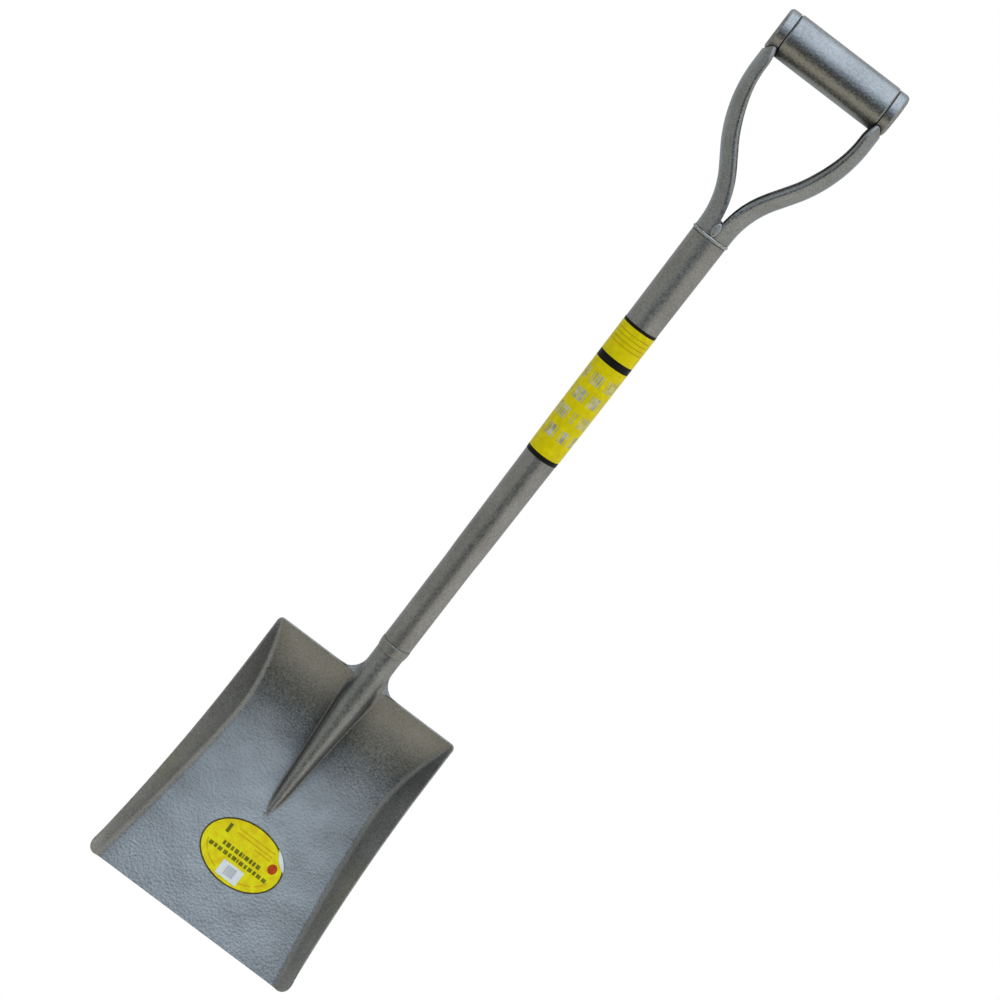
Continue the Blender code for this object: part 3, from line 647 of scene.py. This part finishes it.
def smooth_step(value):
    """An easy rise from 0 to 1 as value goes from 0 to 1."""
    value = clamp(value)
    return value * value * (3.0 - 2.0 * value)


# ======== Blade ========

def floor_height(z):
    """Height of the floor's middle surface: flat, then curving up to the rear edge."""
    along = clamp((z - HEEL_START) / (BLADE_LENGTH - HEEL_START))
    return SHEET / 2 + HEEL_RISE * along ** HEEL_POWER


def floor_half_width(z):
    """Half width of the floor at the crease, narrowest at the waist."""
    if z < WAIST_Z:
        flare = ((WAIST_Z - z) / WAIST_Z) ** FLOOR_FLARE_POWER
        return FLOOR_HALF_WAIST + (FLOOR_HALF_MOUTH - FLOOR_HALF_WAIST) * flare
    flare = ((z - WAIST_Z) / (BLADE_LENGTH - WAIST_Z)) ** SHOULDER_FLARE_POWER
    return FLOOR_HALF_WAIST + (FLOOR_HALF_HEEL - FLOOR_HALF_WAIST) * flare


def rim_point(z):
    """Half width and height of the side flange's upper edge."""
    flare = (max(RIM_FLARE_START - z, 0.0) / RIM_FLARE_START) ** 2
    height = RIM_HEIGHT_MOUTH + (RIM_HEIGHT_HEEL - RIM_HEIGHT_MOUTH) * z / BLADE_LENGTH
    return RIM_HALF_HEEL + (RIM_HALF_MOUTH - RIM_HALF_HEEL) * flare, height


def axis_height(z):
    """Height of the shaft's axis, carried on down over the blade."""
    return AXIS_HEIGHT + (z - SHAFT_FOOT) * math.tan(LIFT)


def frog_section(z):
    """Half section of the ridge, from its crest out to the floor just past its foot."""
    floor = floor_height(z)
    crest = axis_height(z) + SOCKET_RADIUS / math.cos(LIFT) - floor
    tip_z = SHAFT_FOOT + (SHEET / 2 - AXIS_HEIGHT - SOCKET_RADIUS / math.cos(LIFT)) / math.tan(LIFT)
    grown = clamp((z - tip_z) / (FROG_FULL_Z - tip_z)) ** FROG_WIDENING_POWER
    top = FROG_TIP_RADIUS + (SOCKET_RADIUS - FROG_TIP_RADIUS) * grown
    heel = clamp((z - FOOT_FLARE_START) / (BLADE_LENGTH - FOOT_FLARE_START)) ** FOOT_POWER
    foot = FOOT_RADIUS + (FOOT_RADIUS_HEEL - FOOT_RADIUS) * heel
    center = max(crest, 0.0) - top
    turn = math.acos(clamp((foot - center) / (top + foot)))
    foot_x = (top + foot) * math.sin(turn)
    points = []
    for step in range(CREST_STEPS):
        angle = turn * step / CREST_STEPS
        points.append((top * math.sin(angle), floor + center + top * math.cos(angle)))
    for step in range(FOOT_STEPS + 1):
        angle = turn * (1.0 - step / FOOT_STEPS)
        points.append((foot_x - foot * math.sin(angle), floor + foot - foot * math.cos(angle)))
    end = foot_x + FOOT_MARGIN + (SOCKET_RADIUS + NECK_FILLET - foot_x - FOOT_MARGIN) * heel
    points.append((end, floor))
    if crest <= 0.0:
        flat = FROG_TIP_RADIUS + FOOT_MARGIN
        points = [(flat * index / (len(points) - 1), floor) for index in range(len(points))]
    return points


def side_section(z, start_x):
    """Half section outside the frog: floor, rounded crease and flange up to the rim."""
    floor = floor_height(z)
    corner_x = floor_half_width(z)
    rim_x, rim_height = rim_point(z)
    flange = math.hypot(rim_x - corner_x, rim_height - floor)
    bend = min(CREASE_RADIUS, CREASE_SHARE * flange)
    out_x, out_height = (rim_x - corner_x) / flange, (rim_height - floor) / flange
    points = []
    for step in range(1, FLOOR_STEPS):
        points.append((start_x + (corner_x - bend - start_x) * step / FLOOR_STEPS, floor))
    for step in range(CREASE_STEPS + 1):
        share = step / CREASE_STEPS
        before, after = (1.0 - share) ** 2, share ** 2
        points.append((
            corner_x - bend * before + bend * out_x * after,
            floor + bend * out_height * after))
    for step in range(1, FLANGE_STEPS + 1):
        along = bend + (flange - bend) * (1.0 - (1.0 - step / FLANGE_STEPS) ** RIM_CROWDING)
        points.append((corner_x + out_x * along, floor + out_height * along))
    return points


def corner_rise(z, x):
    """How far the mouth's rounded corner lifts a point along the blade."""
    share = clamp(1.0 - (rim_point(z)[0] - x) / CORNER_WIDTH)
    fade = clamp(1.0 - z / CORNER_FADE)
    return CORNER_RISE * (1.0 - math.sqrt(1.0 - share * share)) * fade


def rear_corner_drop(z, x):
    """How far the rounded rear corner lowers a point along the blade."""
    share = clamp(1.0 - (rim_point(z)[0] - x) / REAR_CORNER)
    fade = clamp(1.0 - (BLADE_LENGTH - z) / REAR_CORNER_FADE)
    return REAR_CORNER * (1.0 - math.sqrt(1.0 - share * share)) * fade


def sheet_wave(x, z):
    """The slight unevenness of pressed sheet, none at the mouth and rear edges or under the oval label."""
    calm = smooth_step(z / CORNER_FADE) * smooth_step((BLADE_LENGTH - z) / CORNER_FADE)
    from_oval = math.hypot((x - OVAL_X) / OVAL_HALF_WIDTH, (z - OVAL_Z) / OVAL_HALF_HEIGHT)
    calm *= smooth_step((from_oval - 1.0) / OVAL_CALM)
    return WAVE_HEIGHT * calm * noise.noise(Vector((x * WAVE_SCALE, 0.0, z * WAVE_SCALE)))


def blade_rows():
    """Rows of the right half of the pressed tray, from the mouth to the rear edge."""
    count = math.ceil(BLADE_LENGTH / ROW_SPACING)
    rows = []
    for step in range(count + 1):
        z = BLADE_LENGTH * step / count
        section = frog_section(z)
        section += side_section(z, section[-1][0])
        rows.append([
            (x, -height - sheet_wave(x, z), z + corner_rise(z, x) - rear_corner_drop(z, x))
            for x, height in section])
    return rows


def neck_point(station, tilt, radius, angle):
    """A point of the socket: station is measured back from the shaft's foot along its axis."""
    stretch = 1.0 / math.cos(LIFT - tilt)
    z = SHAFT_FOOT - station * math.cos(LIFT)
    height = AXIS_HEIGHT - station * math.sin(LIFT)
    up = radius * stretch * math.cos(angle)
    return (radius * math.sin(angle), -(height + up * math.cos(tilt)), z - up * math.sin(tilt))


def neck_row(station, radius, wrap, columns):
    """A row of the socket square to the shaft, from its front round to the wrap angle."""
    return [neck_point(station, LIFT, radius, wrap * column / (columns - 1)) for column in range(columns)]


def neck_rows(rear_row, columns):
    """Rows of the socket's right half: the flare above the rear edge, then the rolled tube."""
    start = (SHAFT_FOOT - BLADE_LENGTH) / math.cos(LIFT)
    rows = []
    for step in range(FILLET_STEPS):
        share = step / (FILLET_STEPS - 1)
        turn = math.radians(FIRST_TURN + (90.0 - FIRST_TURN) * share)
        station = start - NECK_FILLET * (1.0 - math.cos(turn))
        row = []
        for column in range(columns):
            angle = NECK_WRAP * column / (columns - 1)
            tilt = LIFT * (step + 1) / FILLET_STEPS
            x, y, z = neck_point(station, tilt, SOCKET_RADIUS, angle)
            start_x, start_y, _ = neck_point(start, 0.0, SOCKET_RADIUS, angle)
            flat_x, flat_y, _ = rear_row[column]
            row.append((
                x + (flat_x - start_x) * (1.0 - math.sin(turn)),
                y + (flat_y - start_y) * math.cos(turn),
                z))
        rows.append(row)
    wrap_start = start - NECK_FILLET
    for step in range(1, WRAP_STEPS + 1):
        share = step / WRAP_STEPS
        wrap = NECK_WRAP + (SEAM_WRAP - NECK_WRAP) * smooth_step(share)
        rows.append(neck_row(wrap_start + (WRAP_END - wrap_start) * share, SOCKET_RADIUS, wrap, columns))
    for station, radius in ((JOGGLE_START, SOCKET_RADIUS), (JOGGLE_END, SPIGOT_RADIUS),
                            (-SPIGOT_LENGTH, SPIGOT_RADIUS)):
        rows.append(neck_row(station, radius, SEAM_WRAP, columns))
    return rows


def make_blade(material):
    """The pressed tray and its rolled socket: one sheet, mirrored about its middle."""
    rows = blade_rows()
    rows += neck_rows(rows[-1], len(frog_section(BLADE_LENGTH)))
    right = sheet_mesh("blade_sheet", rows, Matrix.Identity(4))
    blade = add_piece("blade_sheet", right, material, "hammered_paint", "blade")
    mirror = blade.modifiers.new("halves", "MIRROR")
    mirror.merge_threshold = MERGE_DISTANCE
    settle(blade)
    blade.data.transform(BLADE)
    thicken(blade, SHEET)
    round_edges(blade, BLADE_ROUNDING, BLADE_ROUNDING_SEGMENTS)


# ======== Shaft ========

def shaft_radius(station):
    """Outer radius of the tapered tube at a station above its foot."""
    for (low, low_radius), (high, high_radius) in zip(SHAFT_PROFILE, SHAFT_PROFILE[1:]):
        if station <= high:
            return low_radius + (high_radius - low_radius) * (station - low) / (high - low)
    return SHAFT_PROFILE[-1][1]


def make_shaft(material):
    """The tapered steel tube."""
    outer = [(radius, station) for station, radius in reversed(SHAFT_PROFILE)]
    inner = [(radius - SHAFT_WALL, station) for station, radius in SHAFT_PROFILE]
    tube = add_piece("shaft", turned("shaft", outer + inner, True, SHAFT), material,
                     "hammered_paint", "shaft_tube")
    round_edges(tube, TUBE_ROUNDING)


def make_socket_weld(material):
    """The fillet between the tube's lower edge and the socket."""
    inside = SOCKET_RADIUS + GAP
    profile = [(shaft_radius(0.0), -GAP)]
    for step in range(WELD_STEPS + 1):
        share = step / WELD_STEPS
        drop = WELD_SHOULDER + (WELD_LENGTH - WELD_SHOULDER) * share
        profile.append((WELD_RADIUS - (WELD_RADIUS - WELD_TOE) * share ** 2, -drop))
    profile += [(inside, -WELD_LENGTH), (inside, -GAP)]
    weld = add_piece("socket_fillet", turned("socket_fillet", profile, True, SHAFT), material,
                     "painted_weld", "socket_weld")
    roughen(weld, *SOCKET_WELD_LUMPS)


def make_yoke_weld(material):
    """The ring of weld at the top of the tube."""
    low = SHAFT_PROFILE[-1][0] + GAP
    high = low + BEAD_HEIGHT
    inside = SLEEVE_RADIUS + GAP
    profile = arc(BEAD_RADIUS - BEAD_EDGE, (low + high) / 2, BEAD_EDGE, 90.0, -90.0)
    profile += [(inside, low), (inside, high)]
    weld = add_piece("yoke_bead", turned("yoke_bead", profile, True, SHAFT), material,
                     "painted_weld", "yoke_weld")
    roughen(weld, *YOKE_WELD_LUMPS)


def make_seam_beads(material):
    """Flat runs of weld over the joint of the two arms, just above the ring, front and back."""
    for name, node, side in (("front_seam_run", "front_seam_weld", -1),
                             ("back_seam_run", "back_seam_weld", 1)):
        bpy.ops.mesh.primitive_uv_sphere_add(segments=40, ring_count=24, radius=1.0)
        ball = bpy.context.object
        mesh = ball.data
        bpy.data.objects.remove(ball)
        mesh.transform(Matrix.Diagonal((*SEAM_BEAD_HALF_SIZES, 1.0)))
        mesh.transform(SHAFT @ Matrix.Translation((0.0, side * ARM_RADIUS, SEAM_BEAD_STATION)))
        bead = add_piece(name, mesh, material, "painted_weld", node)
        roughen(bead, *SEAM_LUMPS)


# ======== Handle ========

def arm_path(station):
    """Half width of the arm's outer ridge at a station above the shaft's foot, and its lean."""
    sine, cosine = math.sin(ARM_LEAN), math.cos(ARM_LEAN)
    bends = (ARM_LOWER_BEND + ARM_UPPER_BEND) * (1.0 - cosine)
    straight = (ARM_OUTER - ARM_RADIUS - bends) / sine
    rise = station - ARM_BEND_START
    if rise <= 0.0:
        return ARM_RADIUS, 0.0
    if rise < ARM_LOWER_BEND * sine:
        lean = math.asin(rise / ARM_LOWER_BEND)
        return ARM_RADIUS + ARM_LOWER_BEND * (1.0 - math.cos(lean)), lean
    rise -= ARM_LOWER_BEND * sine
    low_x = ARM_RADIUS + ARM_LOWER_BEND * (1.0 - cosine)
    if rise < straight * cosine:
        return low_x + rise * math.tan(ARM_LEAN), ARM_LEAN
    rise -= straight * cosine
    if rise < ARM_UPPER_BEND * sine:
        lean = math.asin(sine - rise / ARM_UPPER_BEND)
        return ARM_OUTER - ARM_UPPER_BEND * (1.0 - math.cos(lean)), lean
    return ARM_OUTER, 0.0


def arm_half_angle(depth):
    """Half angle of an arc whose half length is ARM_HALF_ARC and whose depth is given."""
    low, high = SHALLOWEST_ARC, math.pi / 2
    for _ in range(BISECTIONS):
        middle = (low + high) / 2
        if ARM_HALF_ARC * (1.0 - math.cos(middle)) / middle < depth:
            low = middle
        else:
            high = middle
    return (low + high) / 2


def arm_section(station):
    """Radius and half angle of the channel: half a tube below, opened out to the grip above."""
    base_angle = ARM_HALF_ARC / ARM_RADIUS
    base_depth = ARM_RADIUS * (1.0 - math.cos(base_angle))
    opening = smooth_step((station - ARM_OPEN_START) / (ARM_OPEN_END - ARM_OPEN_START))
    half_angle = arm_half_angle(base_depth + (ARM_DEPTH_TOP - base_depth) * opening)
    radius = ARM_HALF_ARC / half_angle
    trim = clamp((station - ARM_TRIM_START) / ARM_TRIM_LENGTH) ** 2
    return radius, (ARM_HALF_ARC - ARM_TRIM * trim) / radius


def arm_point(radius, half_angle, share, curl):
    """Depth below the ridge and distance across of a section's point; its edges curl in by curl."""
    angle = half_angle * share
    lip_start = half_angle - LIP_LENGTH / radius
    beyond = (abs(angle) - lip_start) * radius
    if beyond <= 0.0:
        return radius * (1.0 - math.cos(angle)), radius * math.sin(angle)
    lip_radius = 1.0 / (1.0 / radius + curl * (1.0 / LIP_RADIUS - 1.0 / radius))
    end = lip_start + beyond / lip_radius
    depth = radius * (1.0 - math.cos(lip_start)) + lip_radius * (math.cos(lip_start) - math.cos(end))
    across = radius * math.sin(lip_start) + lip_radius * (math.sin(end) - math.sin(lip_start))
    return depth, math.copysign(across, angle)


def across_grip(side):
    """The grip's place with its own Z turned along the grip, to the left (-1) or the right (1)."""
    return GRIP @ Matrix.Rotation(math.radians(90.0 * side), 4, "Y")


def arm_rows(side):
    """Rows of one arm's outer surface, from the weld ring up to the grip."""
    stations = [ARM_BASE, ARM_BEND_START]
    for step in range(1, ARM_STEPS + 1):
        stations.append(ARM_BEND_START + (ARM_TRIM_START - ARM_BEND_START) * step / ARM_STEPS)
    for step in range(1, TRIM_STEPS + 1):
        stations.append(ARM_TRIM_START + ARM_TRIM_LENGTH * step / TRIM_STEPS)
    stations.append(GRIP_STATION - ARM_TOP_DROP)
    rows = []
    for station in stations:
        ridge, lean = arm_path(station)
        radius, half_angle = arm_section(station)
        curl = smooth_step((station - LIP_START) / (LIP_FULL - LIP_START))
        row = []
        for column in range(ARM_COLUMNS):
            sunk, across = arm_point(radius, half_angle, 2.0 * column / (ARM_COLUMNS - 1) - 1.0, curl)
            row.append((side * (ridge - sunk * math.cos(lean)), across, station + sunk * math.sin(lean)))
        rows.append(row)
    return rows


def make_arms(material):
    """Both half-round channels, each cut to the underside of its end cap."""
    reach = GRIP_RADIUS + GAP
    cylinder = [(0.0, GRIP_CUT / 2), (reach, GRIP_CUT / 2), (reach, -GRIP_CUT / 2), (0.0, -GRIP_CUT / 2)]
    cutter = bpy.data.objects.new("grip_cope", turned("grip_cope", cylinder, False, across_grip(1)))
    bpy.context.scene.collection.objects.link(cutter)
    for name, node, side in (("left_yoke_arm", "left_arm", -1), ("right_yoke_arm", "right_arm", 1)):
        arm = add_piece(name, sheet_mesh(name, arm_rows(side), SHAFT, flip=side < 0), material,
                        "hammered_paint", node)
        thicken(arm, ARM_SHEET)
        cope = arm.modifiers.new("cope", "BOOLEAN")
        cope.object = cutter
        settle(arm)
        round_edges(arm, ARM_ROUNDING)
    bpy.data.objects.remove(cutter)


def make_grip(material):
    """The tubular hand grip, with both edges rolled in."""
    inside = GRIP_RADIUS - GRIP_WALL
    center = GRIP_RADIUS - GRIP_EDGE
    profile = [(inside, GRIP_HALF)]
    profile += arc(center, GRIP_HALF - GRIP_EDGE, GRIP_EDGE, GRIP_EDGE_TURN, 0.0)
    profile += arc(center, GRIP_EDGE - GRIP_HALF, GRIP_EDGE, 0.0, -GRIP_EDGE_TURN)
    profile.append((inside, -GRIP_HALF))
    grip = add_piece("hand_grip", turned("hand_grip", profile, True, across_grip(1)), material,
                     "hammered_paint", "grip_tube")
    round_edges(grip, GRIP_ROUNDING)


def make_caps(material):
    """Both pressed cups that close the grip's ends."""
    bore = ROD_RADIUS + GAP
    rim = GRIP_HALF + GAP
    skirt = GRIP_RADIUS - GRIP_WALL - GAP
    inner = CAP_END - CAP_WALL
    profile = [(bore, CAP_END - CAP_DISH), (CAP_DISH_RADIUS, CAP_END - CAP_DISH),
               (CAP_FACE_RADIUS, CAP_END - CAP_FACE_DROP)]
    profile += arc(CAP_RADIUS - CAP_EDGE, CAP_END - CAP_EDGE, CAP_EDGE, 90.0, 0.0)
    profile += [
        (CAP_RADIUS, rim), (skirt, rim), (skirt, rim - CAP_SKIRT),
        (skirt - CAP_WALL, rim - CAP_SKIRT), (skirt - CAP_WALL, inner - CAP_EDGE),
        (CAP_FACE_RADIUS, inner - CAP_INNER_DROP), (CAP_DISH_RADIUS, inner - CAP_DISH),
        (bore, inner - CAP_DISH)]
    for name, node, side in (("left_end_cap", "left_grip_cap", -1), ("right_end_cap", "right_grip_cap", 1)):
        cap = add_piece(name, turned(name, profile, True, across_grip(side)), material,
                        "hammered_paint", node)
        round_edges(cap, CAP_ROUNDING)


# ======== Labels ========

def on_blade(across, along, height):
    """A point over the blade's floor, height above the sheet's front face."""
    level = SHEET / 2 + sheet_wave(across, along) + height
    return BLADE @ Vector((across, -level, along))


def on_shaft(angle, station, height):
    """A point on the shaft; angle is measured from the front towards +X."""
    radius = shaft_radius(station) + height
    return SHAFT @ Vector((radius * math.sin(angle), -radius * math.cos(angle), station))


def bar(middle, level, width, height):
    """Outline of a rectangle round its middle."""
    left, right = middle - width / 2, middle + width / 2
    low, high = level - height / 2, level + height / 2
    return [(left, low), (right, low), (right, high), (left, high)]


def bar_row(middle, level, length, height, widths, gap):
    """A row of plain bars of the given relative widths, with gap as the share left between them."""
    outlines = []
    left = middle - length / 2
    total = sum(widths)
    for width in widths:
        slot = length * width / total
        outlines.append(bar(left + slot / 2, level, slot * (1.0 - gap), height))
        left += slot
    return outlines


def oval_point(turn, inset=0.0):
    """A point on the oval's edge, or inset from it; turn is in degrees from +X towards +Z."""
    angle = math.radians(turn)
    return (OVAL_X + (OVAL_HALF_WIDTH - inset) * math.cos(angle),
            OVAL_Z + (OVAL_HALF_HEIGHT - inset) * math.sin(angle))


def oval_band(start, end, outer, inner, steps, bulge=0.0):
    """Outline of a band along the oval's edge between two insets; a bulge deepens its middle."""
    outline = [oval_point(start + (end - start) * step / steps, outer) for step in range(steps + 1)]
    for step in reversed(range(steps + 1)):
        share = step / steps
        inset = inner + bulge * math.sin(math.pi * share)
        outline.append(oval_point(start + (end - start) * share, inset))
    return outline


def add_print(name, outlines, low, high, to_point, material, slot, *nodes):
    """A piece of film or ink from its outlines, raised from low to high over the surface below."""
    return add_piece(name, plates(name, outlines, low, high, to_point), material, slot, *nodes)


def make_shaft_label(looks):
    """The printed wrap, with plain bars where rows of print would be."""
    stations = [SHAFT_LABEL_END, TAPER_END, SHAFT_LABEL_START]
    outer = [(shaft_radius(station) + LABEL_GAP + LABEL_SHEET, station) for station in stations]
    inner = [(shaft_radius(station) + LABEL_GAP, station) for station in reversed(stations)]
    add_piece("shaft_wrap", turned("shaft_wrap", outer + inner, True, SHAFT), looks["wrap_film"],
              "shaft_print", "shaft_label")
    top = LABEL_GAP + LABEL_SHEET
    bars = []
    for station, widths in WRAP_ROWS:
        bars += bar_row(0.0, station, widths=widths, **WRAP_ROW)
    add_print("wrap_bars", bars, top, top + WRAP_INK, on_shaft, looks["silver_ink"], "shaft_print")
    lines = []
    for station in WRAP_LINES:
        lines += bar_row(0.0, station, **WRAP_LINE)
    add_print("wrap_lines", lines, top, top + WRAP_INK, on_shaft, looks["brown_ink"], "shaft_print")


def oval_bar(across, up, width, height):
    """A bar placed from the oval's middle."""
    return bar(OVAL_X + across, OVAL_Z + up, width, height)


def oval_row(across, up, **row):
    """A row of bars placed from the oval's middle."""
    return bar_row(OVAL_X + across, OVAL_Z + up, **row)


def make_oval_film(looks):
    """The oval sticker and its dark outline."""
    top = LABEL_GAP + LABEL_SHEET
    oval = [oval_point(360.0 * step / OVAL_POINTS) for step in range(OVAL_POINTS)]
    add_print("oval_film", [oval], LABEL_GAP, top, on_blade, looks["oval_film"], "oval_print", "blade_label")
    outline = []
    for turn in range(0, 360, OUTLINE_PITCH):
        outline.append(oval_band(turn, turn + OUTLINE_TURN, 0.0, OUTLINE_WIDTH, OUTLINE_STEPS))
    add_print("oval_outline", outline, top, top + INK, on_blade, looks["edge_ink"], "oval_print")


def make_oval_print(looks):
    """Plain generic print on the oval: rows of bars, thin and curved lines, and a dot."""
    top = LABEL_GAP + LABEL_SHEET
    ink = top + INK
    bars = []
    for row in OVAL_ROWS:
        bars += oval_row(**row)
    bars.append(oval_bar(**UPRIGHT_BLOCK))
    add_print("oval_bars", bars, top, ink, on_blade, looks["dark_ink"], "oval_print")
    lines = [oval_bar(**line) for line in OVAL_LINES]
    for turn in CURVED_LINE_STARTS:
        lines.append(oval_band(turn, turn + CURVED_LINE_TURN, CURVED_LINE_OUTER, CURVED_LINE_INNER,
                               CURVED_LINE_STEPS))
    add_print("oval_lines", lines, top, ink, on_blade, looks["orange_ink"], "oval_print")
    dot = []
    for step in range(DOT_POINTS):
        angle = math.tau * step / DOT_POINTS
        dot.append((OVAL_X + DOT_ACROSS + DOT_HALF_WIDTH * math.cos(angle),
                    OVAL_Z + DOT_UP + DOT_HALF_HEIGHT * math.sin(angle)))
    add_print("oval_dot", [dot], top, ink, on_blade, looks["red_ink"], "oval_print")


def make_oval_peel(looks):
    """The sticker's lifted corner, which shows its white back."""
    low = LABEL_GAP + LABEL_SHEET + INK
    peel = oval_band(PEEL_START, PEEL_END, -PEEL_OVERHANG, PEEL_EDGE, PEEL_STEPS, bulge=PEEL_DEPTH)
    add_print("oval_peel", [peel], low, low + PEEL_THICKNESS, on_blade, looks["white_film"], "oval_print")


def make_code_label(looks):
    """The small white sticker, with plain upright bars of even height."""
    low = LABEL_GAP + LABEL_SHEET + LABEL_GAP
    top = low + LABEL_SHEET
    card = bar(CODE_X, CODE_Z, CODE_WIDTH, CODE_HEIGHT)
    add_print("code_card", [card], low, top, on_blade, looks["white_film"], "white_print", "code_label")
    bars = bar_row(CODE_X, CODE_Z + CODE_BARS_RISE, **CODE_BARS)
    add_print("code_bars", bars, top, top + INK, on_blade, looks["pale_ink"], "white_print")


# ======== Carried CAD nodes ========

def dress(node, material, edge=NODE_ROUNDING, lumps=None):
    """A new finish on a CAD node, with its split corners joined and its edges rounded, or lumpy."""
    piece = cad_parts[node]
    piece.data.materials.clear()
    piece.data.materials.append(material)
    piece.data.shade_smooth()
    weld = piece.modifiers.new("joined_corners", "WELD")
    weld.merge_threshold = MERGE_DISTANCE
    if lumps:
        subdivide = piece.modifiers.new("finer", "SUBSURF")
        subdivide.levels = 2
        subdivide.render_levels = 2
        roughen(piece, *lumps)
    elif edge:
        round_edges(piece, edge)


# ======== Set ========

def make_camera():
    """The camera, set back from its target along its line of sight and rolled about that line."""
    back = Vector((math.sin(CAMERA_AZIMUTH) * math.cos(CAMERA_ELEVATION),
                   -math.cos(CAMERA_AZIMUTH) * math.cos(CAMERA_ELEVATION), math.sin(CAMERA_ELEVATION)))
    data = bpy.data.cameras.new("camera")
    data.lens = CAMERA_LENS
    camera = bpy.data.objects.new("camera", data)
    camera.rotation_mode = "QUATERNION"
    camera.location = CAMERA_TARGET + back * CAMERA_DISTANCE
    camera.rotation_quaternion = back.to_track_quat("Z", "Y") @ Quaternion((0.0, 0.0, 1.0), CAMERA_ROLL)
    bpy.context.scene.collection.objects.link(camera)
    bpy.context.scene.camera = camera


def make_surroundings():
    """Soft light all round: cool sky, dim horizon and warm ground in front, dark sides, plain back."""
    world = bpy.data.worlds.new("surroundings")
    bpy.context.scene.world = world
    world.use_nodes = True
    tree = world.node_tree
    direction = add_node(tree, "TexCoord").outputs["Generated"]
    axes = add_node(tree, "SeparateXYZ", Vector=direction).outputs
    share = add_node(tree, "MapRange", Value=axes["Z"], From_Min=-1.0, From_Max=1.0)
    stops = [((level + 1.0) / 2.0, color) for level, color in SURROUNDINGS]
    color = ramp(tree, share.outputs["Result"], stops)
    for axis, start, end, tint in (("X", -SIDE_START, -SIDE_END, LEFT_COLOR),
                                   ("X", SIDE_START, SIDE_END, RIGHT_COLOR),
                                   ("Y", BACK_START, BACK_END, BACK_COLOR)):
        share = add_node(tree, "MapRange", {"interpolation_type": "SMOOTHSTEP"}, Value=axes[axis],
                         From_Min=start, From_Max=end)
        mix = add_node(tree, "MixRGB", Fac=share.outputs["Result"], Color1=color, Color2=(*tint, 1.0))
        color = mix.outputs["Color"]
    background = tree.nodes["Background"]
    tree.links.new(color, background.inputs["Color"])
    background.inputs["Strength"].default_value = SURROUNDINGS_STRENGTH


def only_seen_directly(piece):
    """The set shows behind the object but neither lights it nor shows in its reflections."""
    piece.visible_diffuse = False
    piece.visible_glossy = False
    piece.visible_transmission = False
    piece.visible_volume_scatter = False
    piece.visible_shadow = False


def make_set():
    """A plain white backdrop all round and a pale floor under the mouth."""
    paper = bpy.data.materials.new("set_paper")
    paper.use_nodes = True
    tree = paper.node_tree
    glow = add_node(tree, "Emission", Color=(1.0, 1.0, 1.0, 1.0))
    tree.links.new(glow.outputs["Emission"], tree.nodes["Material Output"].inputs["Surface"])
    bpy.ops.mesh.primitive_uv_sphere_add(segments=48, ring_count=24, radius=BACKDROP_RADIUS)
    backdrop = bpy.context.object
    backdrop.name = "backdrop"
    bpy.ops.mesh.primitive_circle_add(vertices=64, radius=FLOOR_RADIUS, fill_type="NGON",
                                      location=(0.0, 0.0, -FLOOR_DROP))
    ground = bpy.context.object
    ground.name = "ground"
    for piece in (backdrop, ground):
        piece.data.materials.append(paper)
        only_seen_directly(piece)


def make_light(name, location, target, size, power, spread, color):
    """A square area light aimed at its target."""
    data = bpy.data.lights.new(name, "AREA")
    data.size = size
    data.energy = power
    data.spread = spread
    data.color = color
    light = bpy.data.objects.new(name, data)
    light.location = location
    toward = Vector(target) - Vector(location)
    light.rotation_mode = "QUATERNION"
    light.rotation_quaternion = toward.to_track_quat("-Z", "Y")
    bpy.context.scene.collection.objects.link(light)


def main():
    bpy.context.scene.view_settings.view_transform = "Standard"
    make_camera()
    make_surroundings()
    make_set()
    make_light("front_light", **FRONT_LIGHT)

    looks = make_materials()
    make_blade(looks["blade_paint"])
    make_shaft(looks["tube_paint"])
    make_socket_weld(looks["tube_paint"])
    make_yoke_weld(looks["weld_paint"])
    make_seam_beads(looks["weld_paint"])
    make_arms(looks["handle_paint"])
    make_grip(looks["handle_paint"])
    make_caps(looks["handle_paint"])
    make_shaft_label(looks)
    make_oval_film(looks)
    make_oval_print(looks)
    make_oval_peel(looks)
    make_code_label(looks)
    for node in ("left_cap_weld", "right_cap_weld"):
        dress(node, looks["weld_paint"], lumps=CAP_WELD_LUMPS)
    dress("socket_rivet", looks["rivet_metal"])
    dress("grip_rod", looks["rivet_metal"], edge=0.0)
    dress("yoke_sleeve", looks["bare_metal"])


main()
